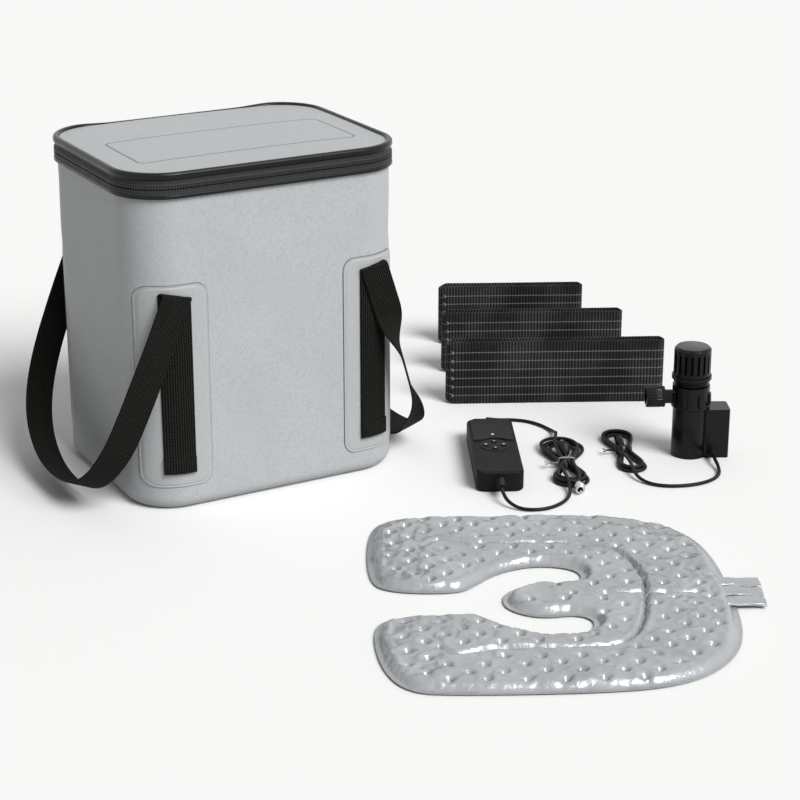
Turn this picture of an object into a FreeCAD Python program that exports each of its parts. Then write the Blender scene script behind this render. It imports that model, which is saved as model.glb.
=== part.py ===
import FreeCAD, Part
import math
import os
import Sketcher

# A portable hot and cold therapy kit: an insulated zip-top bucket with two webbing handles,
# a four-key controller, a small submersible pump, a C-shaped water pad and three elastic bands.
# Millimetres, +Z up. The origin is the middle of the bucket's base, and its front faces -Y.
# The loose pieces stand on the floor beside the bucket, turned together by kit_turn.

Vector = FreeCAD.Vector
UP = Vector(0, 0, 1)

# ---------------------------------------------------------------- driving dimensions

SIZES = {
    # bucket walls
    "bucket_width": 240, "bucket_depth": 192, "bucket_height": 280,
    "bucket_corner": 40, "base_round": 10, "base_rise": 12,
    "shell_wall": 1.2, "foam_wall": 9, "liner_wall": 0.8, "board_wall": 2, "foam_ease": 0.3,
    # zip round the rim
    "zip_drop": 12, "zip_gap": 1, "chain_rise": 2.2, "chain_depth": 4.6, "chain_inset": 0.3,
    "band_overhang": 2.9, "lower_tape_rise": 5, "upper_tape_rise": 4, "rim_rise": 1.3,
    "hinge_span": 155, "hinge_wall": 2.2,
    # lid
    "lid_plug_inset": 8, "lid_flange": 0.8, "piping_rise": 3.8, "piping_drop": 0.8,
    "piping_round": 1.3, "lid_gap": 0.1,
    # zip slider and its pull
    "slider_length": 14, "slider_rise": 9.6, "slider_wall": 1.6, "slider_gap": 0.3,
    "slider_start": 48, "inner_rise": 4.4, "inner_wall": 1.5, "post_rise": 0.5, "post_length": 6,
    "bail_reach": 2.2, "bail_pin": 0.8, "bail_ear": 1.5, "bail_width": 10, "bail_rise": 2.4,
    "pull_length": 21, "pull_width": 6.6, "pull_wall": 1.6, "pull_eye": 1.9, "pull_fit": 0.08,
    "bail_tip": 0.4, "pull_flat": 0.3,
    # webbing, its welded patches and the two carrying loops
    "webbing_width": 25, "webbing_wall": 1.6, "webbing_top": 181, "webbing_foot": 33,
    "webbing_place": 88, "patch_wall": 1, "patch_width": 56, "patch_foot": 20, "patch_top": 191,
    "patch_corner": 11, "loop_gap": 0.3, "loop_drop": 181,
    "left_loop_tilt": 23.5, "right_loop_tilt": 18,
    # where the loose pieces stand, across and away, after kit_turn
    "kit_turn": -27.15,
    "controller_across": 226, "controller_away": -34,
    "pump_across": 396, "pump_away": -16,
    "pad_across": 246, "pad_away": -304,
    "small_band_across": 268, "small_band_away": 296,
    "medium_band_across": 281, "medium_band_away": 210,
    "large_band_across": 294, "large_band_away": 122,
    # controller
    "case_width": 40, "case_length": 126, "case_rise": 18, "case_split": 9.5, "case_corner": 8,
    "case_wall": 2, "case_round": 2, "brow_rise": 1.2, "brow_inset": 1, "brow_foot": 9,
    "brow_arch": 16, "keypad_place": -2.5, "keypad_radius": 13, "keypad_rise": 2.6,
    "key_round": 2.7, "key_side_width": 4.6, "key_side_length": 7, "key_throw": 7.6,
    "key_proud": 0.9, "key_fit": 0.08, "key_flange": 1, "key_flange_rise": 1.2, "key_travel": 0.6,
    "board_width": 33, "board_length": 106, "board_rise": 7.4, "board_thick": 1.6,
    "board_corner": 2, "board_fit": 0.2, "key_flat": 0.1,
    "switch_side": 4.4, "switch_gap": 0.1, "boss_radius": 3, "boss_across": 13, "boss_along": 55.5,
    "screw_radius": 1, "screw_head": 1.9, "screw_head_rise": 1.4, "screw_length": 14,
    "lens_radius": 1.5, "lens_place": 21.5, "lens_proud": 0.2,
    "relief_length": 14.5, "relief_root": 4.5, "relief_tip": 3.2, "relief_neck": 2.6,
    "relief_fit": 0.3, "lead_thick": 3, "lead_lift": 0.1,
    # controller leads, their hank, plug and connector
    "hank_rise": 12, "plug_radius": 5.5, "plug_length": 29, "socket_radius": 4.6,
    "socket_length": 18, "tie_wall": 1, "tie_width": 4, "tie_tail": 12, "tie_splay": 5,
    "tie_low_tail": 2.2, "tie_high_tail": 6.2,
    # pump
    "motor_radius": 15, "motor_rise": 44, "motor_wall": 2, "block_width": 20, "block_depth": 22,
    "block_reach": 33, "block_bury": 2, "block_corner": 2, "well_radius": 8, "well_wall": 0.7,
    "well_foot": 4, "well_flange": 1.5, "well_inset": 0.4,
    "stator_rise": 30, "stator_gap": 0.05, "shaft_radius": 1.5, "shaft_fit": 0.06,
    "magnet_radius": 6.7, "magnet_rise": 30, "magnet_foot": 9, "sleeve_radius": 3,
    "impeller_radius": 12.3, "impeller_rise": 8, "impeller_gap": 0.8, "blade_wall": 1.2,
    "blade_inset": 0.3, "hub_wall": 1,
    "volute_radius": 16, "volute_rise": 18.5, "chamber_radius": 13.5, "chamber_rise": 12,
    "neck_radius": 9, "neck_rise": 12, "neck_bore": 7, "neck_step": 2, "collar_radius": 17,
    "collar_rise": 3,
    "spout_place": 53, "spout_radius": 6, "spout_bore": 3.6, "spout_reach": 38,
    "nut_radius": 8.75, "nut_length": 16, "nut_fit": 0.08, "nut_chamfer": 1, "nut_overhang": 1,
    "filter_radius": 15.75, "filter_rise": 25, "filter_wall": 1.6, "filter_gap": 0.3,
    "filter_chamfer": 2, "filter_bevel": 1, "filter_slots": 18, "slot_width": 2.2, "slot_rise": 17,
    "slot_foot": 3, "slot_flat": 0.05, "seal_gap": 0.05, "seal_thick": 0.9,
    "gland_place": 18, "gland_height": 6, "gland_length": 9, "gland_root": 3.4, "gland_tip": 2.2,
    "pump_hank_rise": 9,
    # pad
    "pad_rise": 9, "pad_width": 270, "pad_length": 300,
    "port_width": 14, "port_reach": 22, "port_rise": 5, "port_pitch": 16.5, "port_bore_rise": 2,
    "port_bore_width": 9, "port_flat": 0.1,
    # elastic bands
    "band_rise": 60, "band_wall": 2.2, "band_fold": 13, "band_flat": 0.2,
    "small_band_length": 143, "medium_band_length": 173, "large_band_length": 201,
}


class Size:
    """A value together with the spreadsheet expression that it is worked out from."""

    def __init__(self, value, text):
        self.value = float(value)
        self.text = text

    def __float__(self):
        return self.value

    def __neg__(self):
        return Size(-self.value, f"(0 - {self.text})")

    def __add__(self, other):
        other = as_size(other)
        return Size(self.value + other.value, f"({self.text} + {other.text})")

    def __sub__(self, other):
        other = as_size(other)
        return Size(self.value - other.value, f"({self.text} - {other.text})")

    def __mul__(self, other):
        other = as_size(other)
        return Size(self.value * other.value, f"({self.text} * {other.text})")

    def __truediv__(self, other):
        other = as_size(other)
        return Size(self.value / other.value, f"({self.text} / {other.text})")

    __radd__ = __add__
    __rmul__ = __mul__

    def __rsub__(self, other):
        return as_size(other) - self


def as_size(number):
    """Return a Size as it is, and a plain number as a Size with its own text."""
    if isinstance(number, Size):
        return number
    return Size(number, f"({number})")


def cosine(angle):
    """Cosine of an angle in degrees."""
    return Size(math.cos(math.radians(angle.value)), f"cos({angle.text})")


def sine(angle):
    """Sine of an angle in degrees."""
    return Size(math.sin(math.radians(angle.value)), f"sin({angle.text})")


doc = FreeCAD.newDocument("therapy_kit")
sheet = doc.addObject("Spreadsheet::Sheet", "Sizes")
for row, (alias, number) in enumerate(SIZES.items(), start=1):
    sheet.set(f"A{row}", alias)
    sheet.set(f"B{row}", str(number))
    sheet.setAlias(f"B{row}", alias)
doc.recompute()


class Named:
    """The driving dimensions by name."""


size = Named()
for alias, number in SIZES.items():
    setattr(size, alias, Size(number, f"Sizes.{alias}"))

# ---------------------------------------------------------------- sub-parts and where they stand

subparts = []


def spot(across, away):
    """Where a loose piece's own origin stands, from its distances across and away."""
    cos_turn, sin_turn = cosine(size.kit_turn), sine(size.kit_turn)
    return (across * cos_turn - away * sin_turn, across * sin_turn + away * cos_turn)


CONTROLLER = spot(size.controller_across, size.controller_away)
PUMP = spot(size.pump_across, size.pump_away)
PAD = spot(size.pad_across, size.pad_away)
SMALL_BAND = spot(size.small_band_across, size.small_band_away)
MEDIUM_BAND = spot(size.medium_band_across, size.medium_band_away)
LARGE_BAND = spot(size.large_band_across, size.large_band_away)


def settle(piece, place):
    """Put a sub-part at its spot on the floor, turned with the rest of the loose pieces."""
    x, y = place
    turn = FreeCAD.Rotation(UP, float(size.kit_turn))
    piece.Placement = FreeCAD.Placement(Vector(float(x), float(y), 0), turn)
    piece.setExpression("Placement.Base.x", x.text)
    piece.setExpression("Placement.Base.y", y.text)
    piece.setExpression("Placement.Rotation.Angle", size.kit_turn.text)


def new_body(name, place=None):
    """Start a sub-part made of sketches and features."""
    body = doc.addObject("PartDesign::Body", name)
    body.Label = name
    if place:
        settle(body, place)
    subparts.append(body)
    return body


def free_part(name, shape, place=None):
    """Add a sub-part whose shape follows a route or an outline that no sketch feature makes."""
    piece = doc.addObject("Part::Feature", name)
    piece.Label = name
    piece.Shape = shape
    if place:
        settle(piece, place)
    subparts.append(piece)
    return piece


# ---------------------------------------------------------------- sketches and features

PLANE_ROLES = {"top": "XY_Plane", "front": "XZ_Plane", "side": "YZ_Plane"}


def bind(thing, name, value):
    """Tie a property to the sheet where its value comes from there."""
    if isinstance(value, Size):
        thing.setExpression(name, value.text)


def new_sketch(body, plane, offset=0, shift=(0, 0)):
    """Attach an empty sketch to one of the body's own planes, moved off it and along it."""
    sketch = body.newObject("Sketcher::SketchObject", f"{body.Label}_sketch")
    plane_object = next(f for f in body.Origin.OriginFeatures if f.Role == PLANE_ROLES[plane])
    sketch.AttachmentSupport = [(plane_object, "")]
    sketch.MapMode = "FlatFace"
    base = Vector(float(shift[0]), float(shift[1]), float(offset))
    sketch.AttachmentOffset = FreeCAD.Placement(base, FreeCAD.Rotation())
    bind(sketch, "AttachmentOffset.Base.x", shift[0])
    bind(sketch, "AttachmentOffset.Base.y", shift[1])
    bind(sketch, "AttachmentOffset.Base.z", offset)
    return sketch


def hold(sketch, value, *constraint):
    """Add one sized constraint and tie it to the sheet."""
    index = sketch.addConstraint(Sketcher.Constraint(*constraint, float(value)))
    bind(sketch, f"Constraints[{index}]", value)


def draw_rounded(sketch, width, depth, corner):
    """Draw a rounded rectangle about the sketch's origin."""
    x, y, r = float(width) / 2, float(depth) / 2, float(corner)
    first = sketch.GeometryCount
    sides = (
        ((-x + r, -y), (x - r, -y)), ((x, -y + r), (x, y - r)),
        ((x - r, y), (-x + r, y)), ((-x, y - r), (-x, -y + r)),
    )
    for start, end in sides:
        sketch.addGeometry(Part.LineSegment(Vector(*start, 0), Vector(*end, 0)), False)
    centres = ((x - r, -y + r), (x - r, y - r), (-x + r, y - r), (-x + r, -y + r))
    for quarter, centre in enumerate(centres):
        circle = Part.Circle(Vector(*centre, 0), UP, r)
        start = (quarter - 1) * math.pi / 2
        sketch.addGeometry(Part.ArcOfCircle(circle, start, start + math.pi / 2), False)
    joins = []
    for side in range(4):
        joins.append(Sketcher.Constraint("Tangent", first + side, 2, first + 4 + side, 1))
        joins.append(Sketcher.Constraint("Tangent", first + 4 + side, 2, first + (side + 1) % 4, 1))
        kind = "Horizontal" if side % 2 == 0 else "Vertical"
        joins.append(Sketcher.Constraint(kind, first + side))
    for arc in (4, 5, 6):
        joins.append(Sketcher.Constraint("Equal", first + arc, first + arc + 1))
    joins.append(Sketcher.Constraint("Symmetric", first + 5, 3, first + 7, 3, -1, 1))
    sketch.addConstraint(joins)
    hold(sketch, width, "DistanceX", first + 3, 1, first + 1, 1)
    hold(sketch, depth, "DistanceY", first, 1, first + 2, 1)
    hold(sketch, corner, "Radius", first + 4)


def draw_circle(sketch, radius, x=0, y=0):
    """Draw a circle at a place in the sketch."""
    circle = sketch.addGeometry(Part.Circle(Vector(float(x), float(y), 0), UP, float(radius)), False)
    hold(sketch, radius, "Radius", circle)
    hold(sketch, x, "DistanceX", -1, 1, circle, 3)
    hold(sketch, y, "DistanceY", -1, 1, circle, 3)


def draw_polygon(sketch, points):
    """Draw a closed polygon, each corner held at its own distances from the origin."""
    first = sketch.GeometryCount
    places = [Vector(float(x), float(y), 0) for x, y in points]
    for start, end in zip(places, places[1:] + places[:1]):
        sketch.addGeometry(Part.LineSegment(start, end), False)
    count = len(points)
    for corner, (x, y) in enumerate(points):
        following = first + (corner + 1) % count
        sketch.addConstraint(Sketcher.Constraint("Coincident", first + corner, 2, following, 1))
        hold(sketch, x, "DistanceX", -1, 1, first + corner, 1)
        hold(sketch, y, "DistanceY", -1, 1, first + corner, 1)


def box_points(left, right, foot, top):
    """The four corners of an upright rectangle."""
    return [(left, foot), (right, foot), (right, top), (left, top)]


def add_feature(body, kind, sketch, length, reverse=False):
    """Pad or pocket a sketch by a length, on the side of its plane that is wanted."""
    feature = body.newObject(f"PartDesign::{kind}", f"{body.Label}_{kind.lower()}")
    feature.Profile = sketch
    feature.Length = float(length)
    bind(feature, "Length", length)
    feature.Reversed = reverse
    sketch.Visibility = False
    return feature


def pad(body, sketch, length, reverse=False):
    """Add a prism on the side that the sketch's plane faces, or on the other."""
    return add_feature(body, "Pad", sketch, length, reverse)


def pocket(body, sketch, length, reverse=True):
    """Cut a prism on the side that the sketch's plane faces, or on the other."""
    doc.recompute()
    before = body.Shape.Volume
    feature = add_feature(body, "Pocket", sketch, length, reverse)
    doc.recompute()
    if not body.Shape.Volume < before:
        raise ValueError(f"a pocket in {body.Label} cuts nothing")
    return feature


def turn_about(body, plane, axis, points, offset=0, shift=(0, 0)):
    """Turn a closed profile about one of its sketch's own axes."""
    sketch = new_sketch(body, plane, offset, shift)
    draw_polygon(sketch, points)
    feature = body.newObject("PartDesign::Revolution", f"{body.Label}_turned")
    feature.Profile = sketch
    feature.ReferenceAxis = (sketch, [axis])
    feature.Angle = 360
    return feature


def round_edges(body, radius, wanted):
    """Round the edges of a body that a test on the edge's middle accepts."""
    doc.recompute()
    base = body.Tip
    names = []
    for number, edge in enumerate(base.Shape.Edges, start=1):
        middle = edge.valueAt((edge.FirstParameter + edge.LastParameter) / 2)
        if wanted(edge, middle):
            names.append(f"Edge{number}")
    feature = body.newObject("PartDesign::Fillet", f"{body.Label}_rounding")
    feature.Base = (base, names)
    feature.Radius = float(radius)
    bind(feature, "Radius", radius)
    return feature


def level(height):
    """A test for edges that lie flat at one height."""
    def wanted(edge, middle):
        box = edge.BoundBox
        return box.ZLength < 1e-6 and abs(middle.z - float(height)) < 1e-6
    return wanted


def slab(name, outline, foot, rise, hole=None, place=None):
    """A flat rounded-rectangle plate, or a ring of one where a hole is given."""
    body = new_body(name, place)
    sketch = new_sketch(body, "top", foot)
    draw_rounded(sketch, *outline)
    if hole:
        draw_rounded(sketch, *hole)
    pad(body, sketch, rise)
    return body


def add_slab(body, outline, foot, rise, hole=None, shift=(0, 0)):
    """Add one more plate or ring to a body."""
    sketch = new_sketch(body, "top", foot, shift)
    draw_rounded(sketch, *outline)
    if hole:
        draw_rounded(sketch, *hole)
    return pad(body, sketch, rise)


def cut_slab(body, outline, foot, rise):
    """Cut a rounded-rectangle hollow upward from a height."""
    sketch = new_sketch(body, "top", foot)
    draw_rounded(sketch, *outline)
    return pocket(body, sketch, rise)


def bucket_outline(inset):
    """The bucket's plan outline, drawn in by an inset or out by a negative one."""
    return (size.bucket_width - 2 * inset, size.bucket_depth - 2 * inset, size.bucket_corner - inset)


# ---------------------------------------------------------------- routes and outlines

def as_point(x, y, z=0):
    """A point from sizes or plain numbers."""
    return Vector(float(x), float(y), float(z))


ARC_SHARE = 0.45


def corner_arc(before, corner, after):
    """The arc that rounds one corner: its two ends, its middle and its radius."""
    run_in, run_out = corner - before, after - corner
    half_turn = run_in.getAngle(run_out) / 2
    reach = ARC_SHARE * min(run_in.Length, run_out.Length)
    radius = reach / math.tan(half_turn)
    way_in = Vector(run_in).normalize()
    way_out = Vector(run_out).normalize()
    inward = (way_out - way_in).normalize()
    middle = corner + inward * (radius / math.cos(half_turn) - radius)
    return corner - way_in * reach, middle, corner + way_out * reach, radius


def open_route(points):
    """Straight runs joined by tangent arcs through a list of points, and the smallest radius."""
    edges, smallest, here = [], math.inf, points[0]
    for before, corner, after in zip(points, points[1:], points[2:]):
        start, middle, end, radius = corner_arc(before, corner, after)
        edges.append(Part.LineSegment(here, start).toShape())
        edges.append(Part.Arc(start, middle, end).toShape())
        smallest, here = min(smallest, radius), end
    edges.append(Part.LineSegment(here, points[-1]).toShape())
    return Part.Wire(edges), smallest


def closed_outline(points):
    """A closed flat outline of straight runs joined by tangent arcs."""
    count = len(points)
    arcs = [corner_arc(points[i - 1], points[i], points[(i + 1) % count]) for i in range(count)]
    edges = []
    for index, (start, middle, end, _radius) in enumerate(arcs):
        edges.append(Part.LineSegment(arcs[index - 1][2], start).toShape())
        edges.append(Part.Arc(start, middle, end).toShape())
    return Part.Wire(edges)


def prism(outline, rise):
    """A flat outline raised into a solid."""
    return Part.Face(outline).extrude(Vector(0, 0, float(rise)))


def sweep(route, section):
    """Carry a closed section along a route, and check the solid against section times length."""
    solid = Part.Wire(route).makePipeShell([section], True, False)
    area = Part.Face(section).Area
    expected = area * route.Length
    if abs(solid.Volume - expected) > 0.02 * expected:
        raise ValueError(f"a sweep holds {solid.Volume:.0f} mm3 in place of {expected:.0f}")
    return solid


def cord(name, points, thick, place):
    """A round cord along its route, with its length and its tightest bend printed."""
    points = [as_point(*point) for point in points]
    route, smallest = open_route(points)
    circle = Part.Circle(points[0], points[1] - points[0], float(thick) / 2)
    print(f"{name}: {route.Length:.0f} mm long, smallest radius {smallest:.1f} mm")
    return free_part(name, sweep(route, Part.Wire(circle.toShape())), place)


# ---------------------------------------------------------------- heights round the zip

ZIP_Z = size.bucket_height - size.zip_drop
LOWER_CHAIN_TOP = ZIP_Z - size.zip_gap / 2
LOWER_CHAIN_FOOT = LOWER_CHAIN_TOP - size.chain_rise
UPPER_CHAIN_FOOT = ZIP_Z + size.zip_gap / 2
UPPER_CHAIN_TOP = UPPER_CHAIN_FOOT + size.chain_rise
WALL_TOP = LOWER_CHAIN_FOOT - size.rim_rise
INNER_INSET = size.shell_wall + size.foam_wall
LINER_FOOT = size.base_rise
LOOP_INNER_Y = size.bucket_depth / 2 + size.patch_wall + size.webbing_wall + size.loop_gap


# ---------------------------------------------------------------- bucket

def make_base_panel():
    """The coated-fabric base, a shallow tray with a rounded foot."""
    body = slab("base_panel", bucket_outline(0), 0, size.base_rise)
    round_edges(body, size.base_round, level(0))
    cut_slab(body, bucket_outline(size.shell_wall), size.shell_wall, size.base_rise)


def make_foam_base():
    """Closed-cell foam on the base panel, under the board."""
    rise = size.base_rise - size.shell_wall - size.board_wall
    body = slab("foam_base", bucket_outline(size.shell_wall), size.shell_wall, rise)
    round_edges(body, size.base_round - size.shell_wall - size.foam_ease, level(size.shell_wall))


def make_base_board():
    """A stiff board between the foam and the liner."""
    foot = size.base_rise - size.board_wall
    slab("base_board", bucket_outline(size.shell_wall), foot, size.board_wall)


def make_walls():
    """Outer fabric, foam and welded inner liner of the side walls, and the rim binding."""
    rise = WALL_TOP - size.base_rise
    slab("outer_shell", bucket_outline(0), size.base_rise, rise, bucket_outline(size.shell_wall))
    slab("foam_wall", bucket_outline(size.shell_wall), size.base_rise, rise,
         bucket_outline(INNER_INSET))
    liner = slab("inner_liner", bucket_outline(INNER_INSET), LINER_FOOT, rise)
    cut_slab(liner, bucket_outline(INNER_INSET + size.liner_wall), LINER_FOOT + size.liner_wall, rise)
    slab("rim_binding", bucket_outline(0), WALL_TOP, size.rim_rise,
         bucket_outline(INNER_INSET + size.liner_wall))


def open_back(body, foot, rise):
    """Cut the straight back stretch out of a zip chain, where the lid's hinge strip runs."""
    back = size.bucket_depth / 2
    reach = size.band_overhang + size.chain_depth
    sketch = new_sketch(body, "top", foot)
    draw_polygon(sketch, box_points(-size.hinge_span / 2, size.hinge_span / 2,
                                    back - reach, back + reach))
    pocket(body, sketch, rise)


def make_zip_half(side, tape_foot, tape_rise, chain_foot):
    """One zip tape and the row of teeth along it."""
    overhang, inset = size.band_overhang, size.chain_inset
    slab(f"zipper_tape_{side}", bucket_outline(-overhang), tape_foot, tape_rise, bucket_outline(0))
    chain_edge = inset - overhang
    chain = slab(f"zipper_chain_{side}", bucket_outline(chain_edge), chain_foot, size.chain_rise,
                 bucket_outline(chain_edge + size.chain_depth))
    open_back(chain, chain_foot, size.chain_rise)


def make_hinge_strip():
    """The fabric strip that the lid folds on, along the straight back edge."""
    outer = size.bucket_depth / 2 + size.band_overhang - size.chain_inset
    body = new_body("hinge_strip")
    sketch = new_sketch(body, "top", LOWER_CHAIN_FOOT)
    half = size.hinge_span / 2 - size.chain_inset
    draw_polygon(sketch, box_points(-half, half, outer - size.hinge_wall, outer))
    pad(body, sketch, UPPER_CHAIN_TOP - size.chain_inset - LOWER_CHAIN_FOOT)


def make_lid():
    """The lid: a coated-fabric cap with a piped edge, a foam core and its own liner."""
    top = size.bucket_height
    cover = slab("lid_cover", bucket_outline(0), UPPER_CHAIN_TOP, top - UPPER_CHAIN_TOP)
    hollow = top - size.shell_wall - UPPER_CHAIN_TOP
    cut_slab(cover, bucket_outline(size.shell_wall), UPPER_CHAIN_TOP, hollow)

    flange_top = UPPER_CHAIN_TOP + size.lid_flange
    plug = size.lid_plug_inset
    plug_foot = UPPER_CHAIN_FOOT + size.lid_gap
    foam = slab("lid_foam", bucket_outline(size.shell_wall), flange_top,
                top - size.shell_wall - flange_top)
    add_slab(foam, bucket_outline(plug + size.lid_flange), plug_foot + size.lid_flange,
             flange_top - plug_foot - size.lid_flange)

    liner = slab("lid_liner", bucket_outline(size.shell_wall), UPPER_CHAIN_TOP, size.lid_flange,
                 bucket_outline(plug + size.lid_flange))
    add_slab(liner, bucket_outline(plug), plug_foot, flange_top - plug_foot,
             bucket_outline(plug + size.lid_flange))
    add_slab(liner, bucket_outline(plug), plug_foot, size.lid_flange)

    foot = top - size.piping_drop - size.piping_rise
    piping = slab("lid_piping", bucket_outline(-size.band_overhang), foot, size.piping_rise,
                  bucket_outline(0))
    centre_x = float(size.bucket_width / 2 - size.bucket_corner)
    centre_y = float(size.bucket_depth / 2 - size.bucket_corner)
    halfway_out = float(size.bucket_corner + size.band_overhang / 2)

    def outer_edge(edge, middle):
        reach = math.hypot(max(abs(middle.x) - centre_x, 0), max(abs(middle.y) - centre_y, 0))
        return edge.BoundBox.ZLength < 1e-6 and reach > halfway_out

    round_edges(piping, size.piping_round, outer_edge)


# ---------------------------------------------------------------- zip slider and pull

SLIDER_OUTER_X = size.bucket_width / 2 + size.band_overhang + size.slider_gap
BAIL_X = SLIDER_OUTER_X + size.slider_wall + size.bail_reach


def make_slider():
    """The slider: an outer and an inner plate joined through the closed chain, and a bail."""
    body = new_body("zip_slider")
    start, half = size.slider_start, size.slider_length / 2

    def block(left, right, half_length, foot, top):
        sketch = new_sketch(body, "top", foot)
        draw_polygon(sketch, box_points(left, right, start - half_length, start + half_length))
        pad(body, sketch, top - foot)

    outer_end = SLIDER_OUTER_X + size.slider_wall
    inner_face = size.bucket_width / 2 + size.band_overhang - size.chain_inset - size.chain_depth
    inner_start = inner_face - 2 * size.slider_gap - size.inner_wall
    inner_end = inner_start + size.inner_wall
    block(SLIDER_OUTER_X, outer_end, half, ZIP_Z - size.slider_rise / 2,
          ZIP_Z + size.slider_rise / 2)
    block(inner_end, SLIDER_OUTER_X, size.post_length / 2, ZIP_Z - size.post_rise / 2,
          ZIP_Z + size.post_rise / 2)
    block(inner_start, inner_end, half, ZIP_Z - size.inner_rise / 2, ZIP_Z + size.inner_rise / 2)
    ear_top = ZIP_Z + size.bail_rise / 2
    ear_foot = ZIP_Z - size.bail_rise / 2
    for sign in (-1, 1):
        middle = start + sign * (size.bail_width - size.bail_ear) / 2
        sketch = new_sketch(body, "top", ear_foot)
        draw_polygon(sketch, box_points(outer_end, BAIL_X + size.bail_pin + size.bail_tip,
                                        middle - size.bail_ear / 2, middle + size.bail_ear / 2))
        pad(body, sketch, ear_top - ear_foot)
    pin = new_sketch(body, "front", -(start - size.bail_width / 2))
    draw_circle(pin, size.bail_pin, BAIL_X, ZIP_Z)
    pad(body, pin, size.bail_width, reverse=True)


def make_pull():
    """The pull tab, hanging from the slider's pin by its eye."""
    body = new_body("zip_pull")
    width = size.pull_width
    eye = new_sketch(body, "front", -(size.slider_start - width / 2))
    draw_circle(eye, size.pull_eye, BAIL_X, ZIP_Z)
    pad(body, eye, width, reverse=True)
    tab = new_sketch(body, "side", BAIL_X - size.pull_wall / 2,
                     (size.slider_start, ZIP_Z - size.pull_length / 2))
    draw_rounded(tab, width, size.pull_length, width / 2 - size.pull_flat)
    pad(body, tab, size.pull_wall)
    bore = new_sketch(body, "front", -(size.slider_start - width / 2))
    draw_circle(bore, size.bail_pin + size.pull_fit, BAIL_X, ZIP_Z)
    pocket(body, bore, width, reverse=False)


# ---------------------------------------------------------------- straps and carrying loops

def wrapped_sheet(inner, outer, width, foot, top, corner):
    """Four flat pieces wrapped on the bucket's faces, one near each upright corner."""
    ring = Part.Face([bucket_wire(outer), bucket_wire(inner)])
    ring = ring.extrude(Vector(0, 0, float(size.bucket_height)))
    window = rounded_window(width, foot, top, corner)
    pieces = []
    for x_sign in (-1, 1):
        for y_sign in (-1, 1):
            cutter = window.copy()
            cutter.translate(Vector(x_sign * float(size.webbing_place), 0, 0))
            reach = float(size.bucket_depth)
            if y_sign < 0:
                cutter.translate(Vector(0, -reach, 0))
            pieces.extend(ring.common(cutter).Solids)
    return Part.Compound(pieces)


def bucket_wire(offset):
    """The bucket's plan outline moved outward by an offset, as a wire at the floor."""
    x = float(size.bucket_width) / 2 + float(offset)
    y = float(size.bucket_depth) / 2 + float(offset)
    r = float(size.bucket_corner) + float(offset)
    face = Part.makePlane(2 * x, 2 * y, Vector(-x, -y, 0))
    box = face.extrude(UP)
    upright = [edge for edge in box.Edges if edge.BoundBox.ZLength > 0.5]
    rounded = box.makeFillet(r, upright)
    base = min(rounded.Faces, key=lambda face_: face_.CenterOfMass.z)
    return base.OuterWire


def rounded_window(width, foot, top, corner):
    """A rounded rectangle seen from the front, raised through half the bucket's depth."""
    half, low, high, r = float(width) / 2, float(foot), float(top), float(corner)
    depth = float(size.bucket_depth)
    box = Part.makeBox(2 * half, depth, high - low, Vector(-half, 0, low))
    if r:
        edges = [edge for edge in box.Edges if edge.BoundBox.YLength > depth / 2]
        box = box.makeFillet(r, edges)
    return box


def make_straps():
    """The welded patches and the webbing strips sewn down on them."""
    strip = size.patch_wall + size.webbing_wall
    patches = wrapped_sheet(0, size.patch_wall, size.patch_width, size.patch_foot,
                            size.patch_top, size.patch_corner)
    free_part("strap_patches", patches)
    strips = wrapped_sheet(size.patch_wall, strip, size.webbing_width, size.webbing_foot,
                           size.webbing_top, 0)
    free_part("strap_anchors", strips)


# How a carrying loop hangs, seen square to its plane: shares of its half width and of its drop.
LOOP_SHAPE = ((-1, 0), (-1, 0.27), (-0.99, 0.52), (-0.94, 0.76), (-0.68, 0.95), (-0.2, 1.0),
              (0.3, 0.96), (0.72, 0.83), (0.94, 0.61), (1, 0.3), (1, 0))


def make_loop(name, side, tilt):
    """A carrying loop of webbing that hangs in a plane tilted about its two ends."""
    half_wall = float(size.webbing_wall) / 2
    half_width = float(LOOP_INNER_Y) + half_wall
    drop = float(size.loop_drop)
    points = [Vector(along * half_width, -down * drop, 0) for along, down in LOOP_SHAPE]
    route, smallest = open_route(points)
    print(f"{name}: {route.Length:.0f} mm long, smallest radius {smallest:.1f} mm")
    half_band = float(size.webbing_width) / 2
    corners = [(-half_wall, -half_band), (half_wall, -half_band),
               (half_wall, half_band), (-half_wall, half_band)]
    section = [points[0] + Vector(x, 0, z) for x, z in corners]
    loop = sweep(route, Part.makePolygon(section + section[:1]))
    angle = math.radians(float(tilt))
    along = Vector(0, 1, 0)
    upward = Vector(-side * math.sin(angle), 0, math.cos(angle))
    outward = along.cross(upward)
    turn = FreeCAD.Rotation(along, upward, outward, "ZXY")
    hinge = as_point(side * size.webbing_place, 0, size.webbing_top)
    free_part(name, moved(loop, hinge, turn))


# ---------------------------------------------------------------- controller

BOSSES = [(across, along) for across in (-size.boss_across, size.boss_across)
          for along in (-size.boss_along, size.boss_along)]
KEY_PLACES = {
    "key_up": (0, size.key_throw), "key_down": (0, -size.key_throw),
    "key_left": (-size.key_throw, 0), "key_right": (size.key_throw, 0),
}
KEYPAD_FOOT = size.case_rise - size.case_wall
KEYPAD_TOP = KEYPAD_FOOT + size.keypad_rise
FLANGE_TOP = KEYPAD_FOOT - size.key_fit
BOARD_TOP = size.board_rise + size.board_thick


def draw_key(sketch, name, grow):
    """Draw one key's plan: a round key above and below, an upright slot shape at each side."""
    if name in ("key_up", "key_down"):
        draw_circle(sketch, size.key_round + grow)
    else:
        draw_rounded(sketch, size.key_side_width + 2 * grow, size.key_side_length + 2 * grow,
                     size.key_side_width / 2 + grow - size.key_flat)


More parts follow.
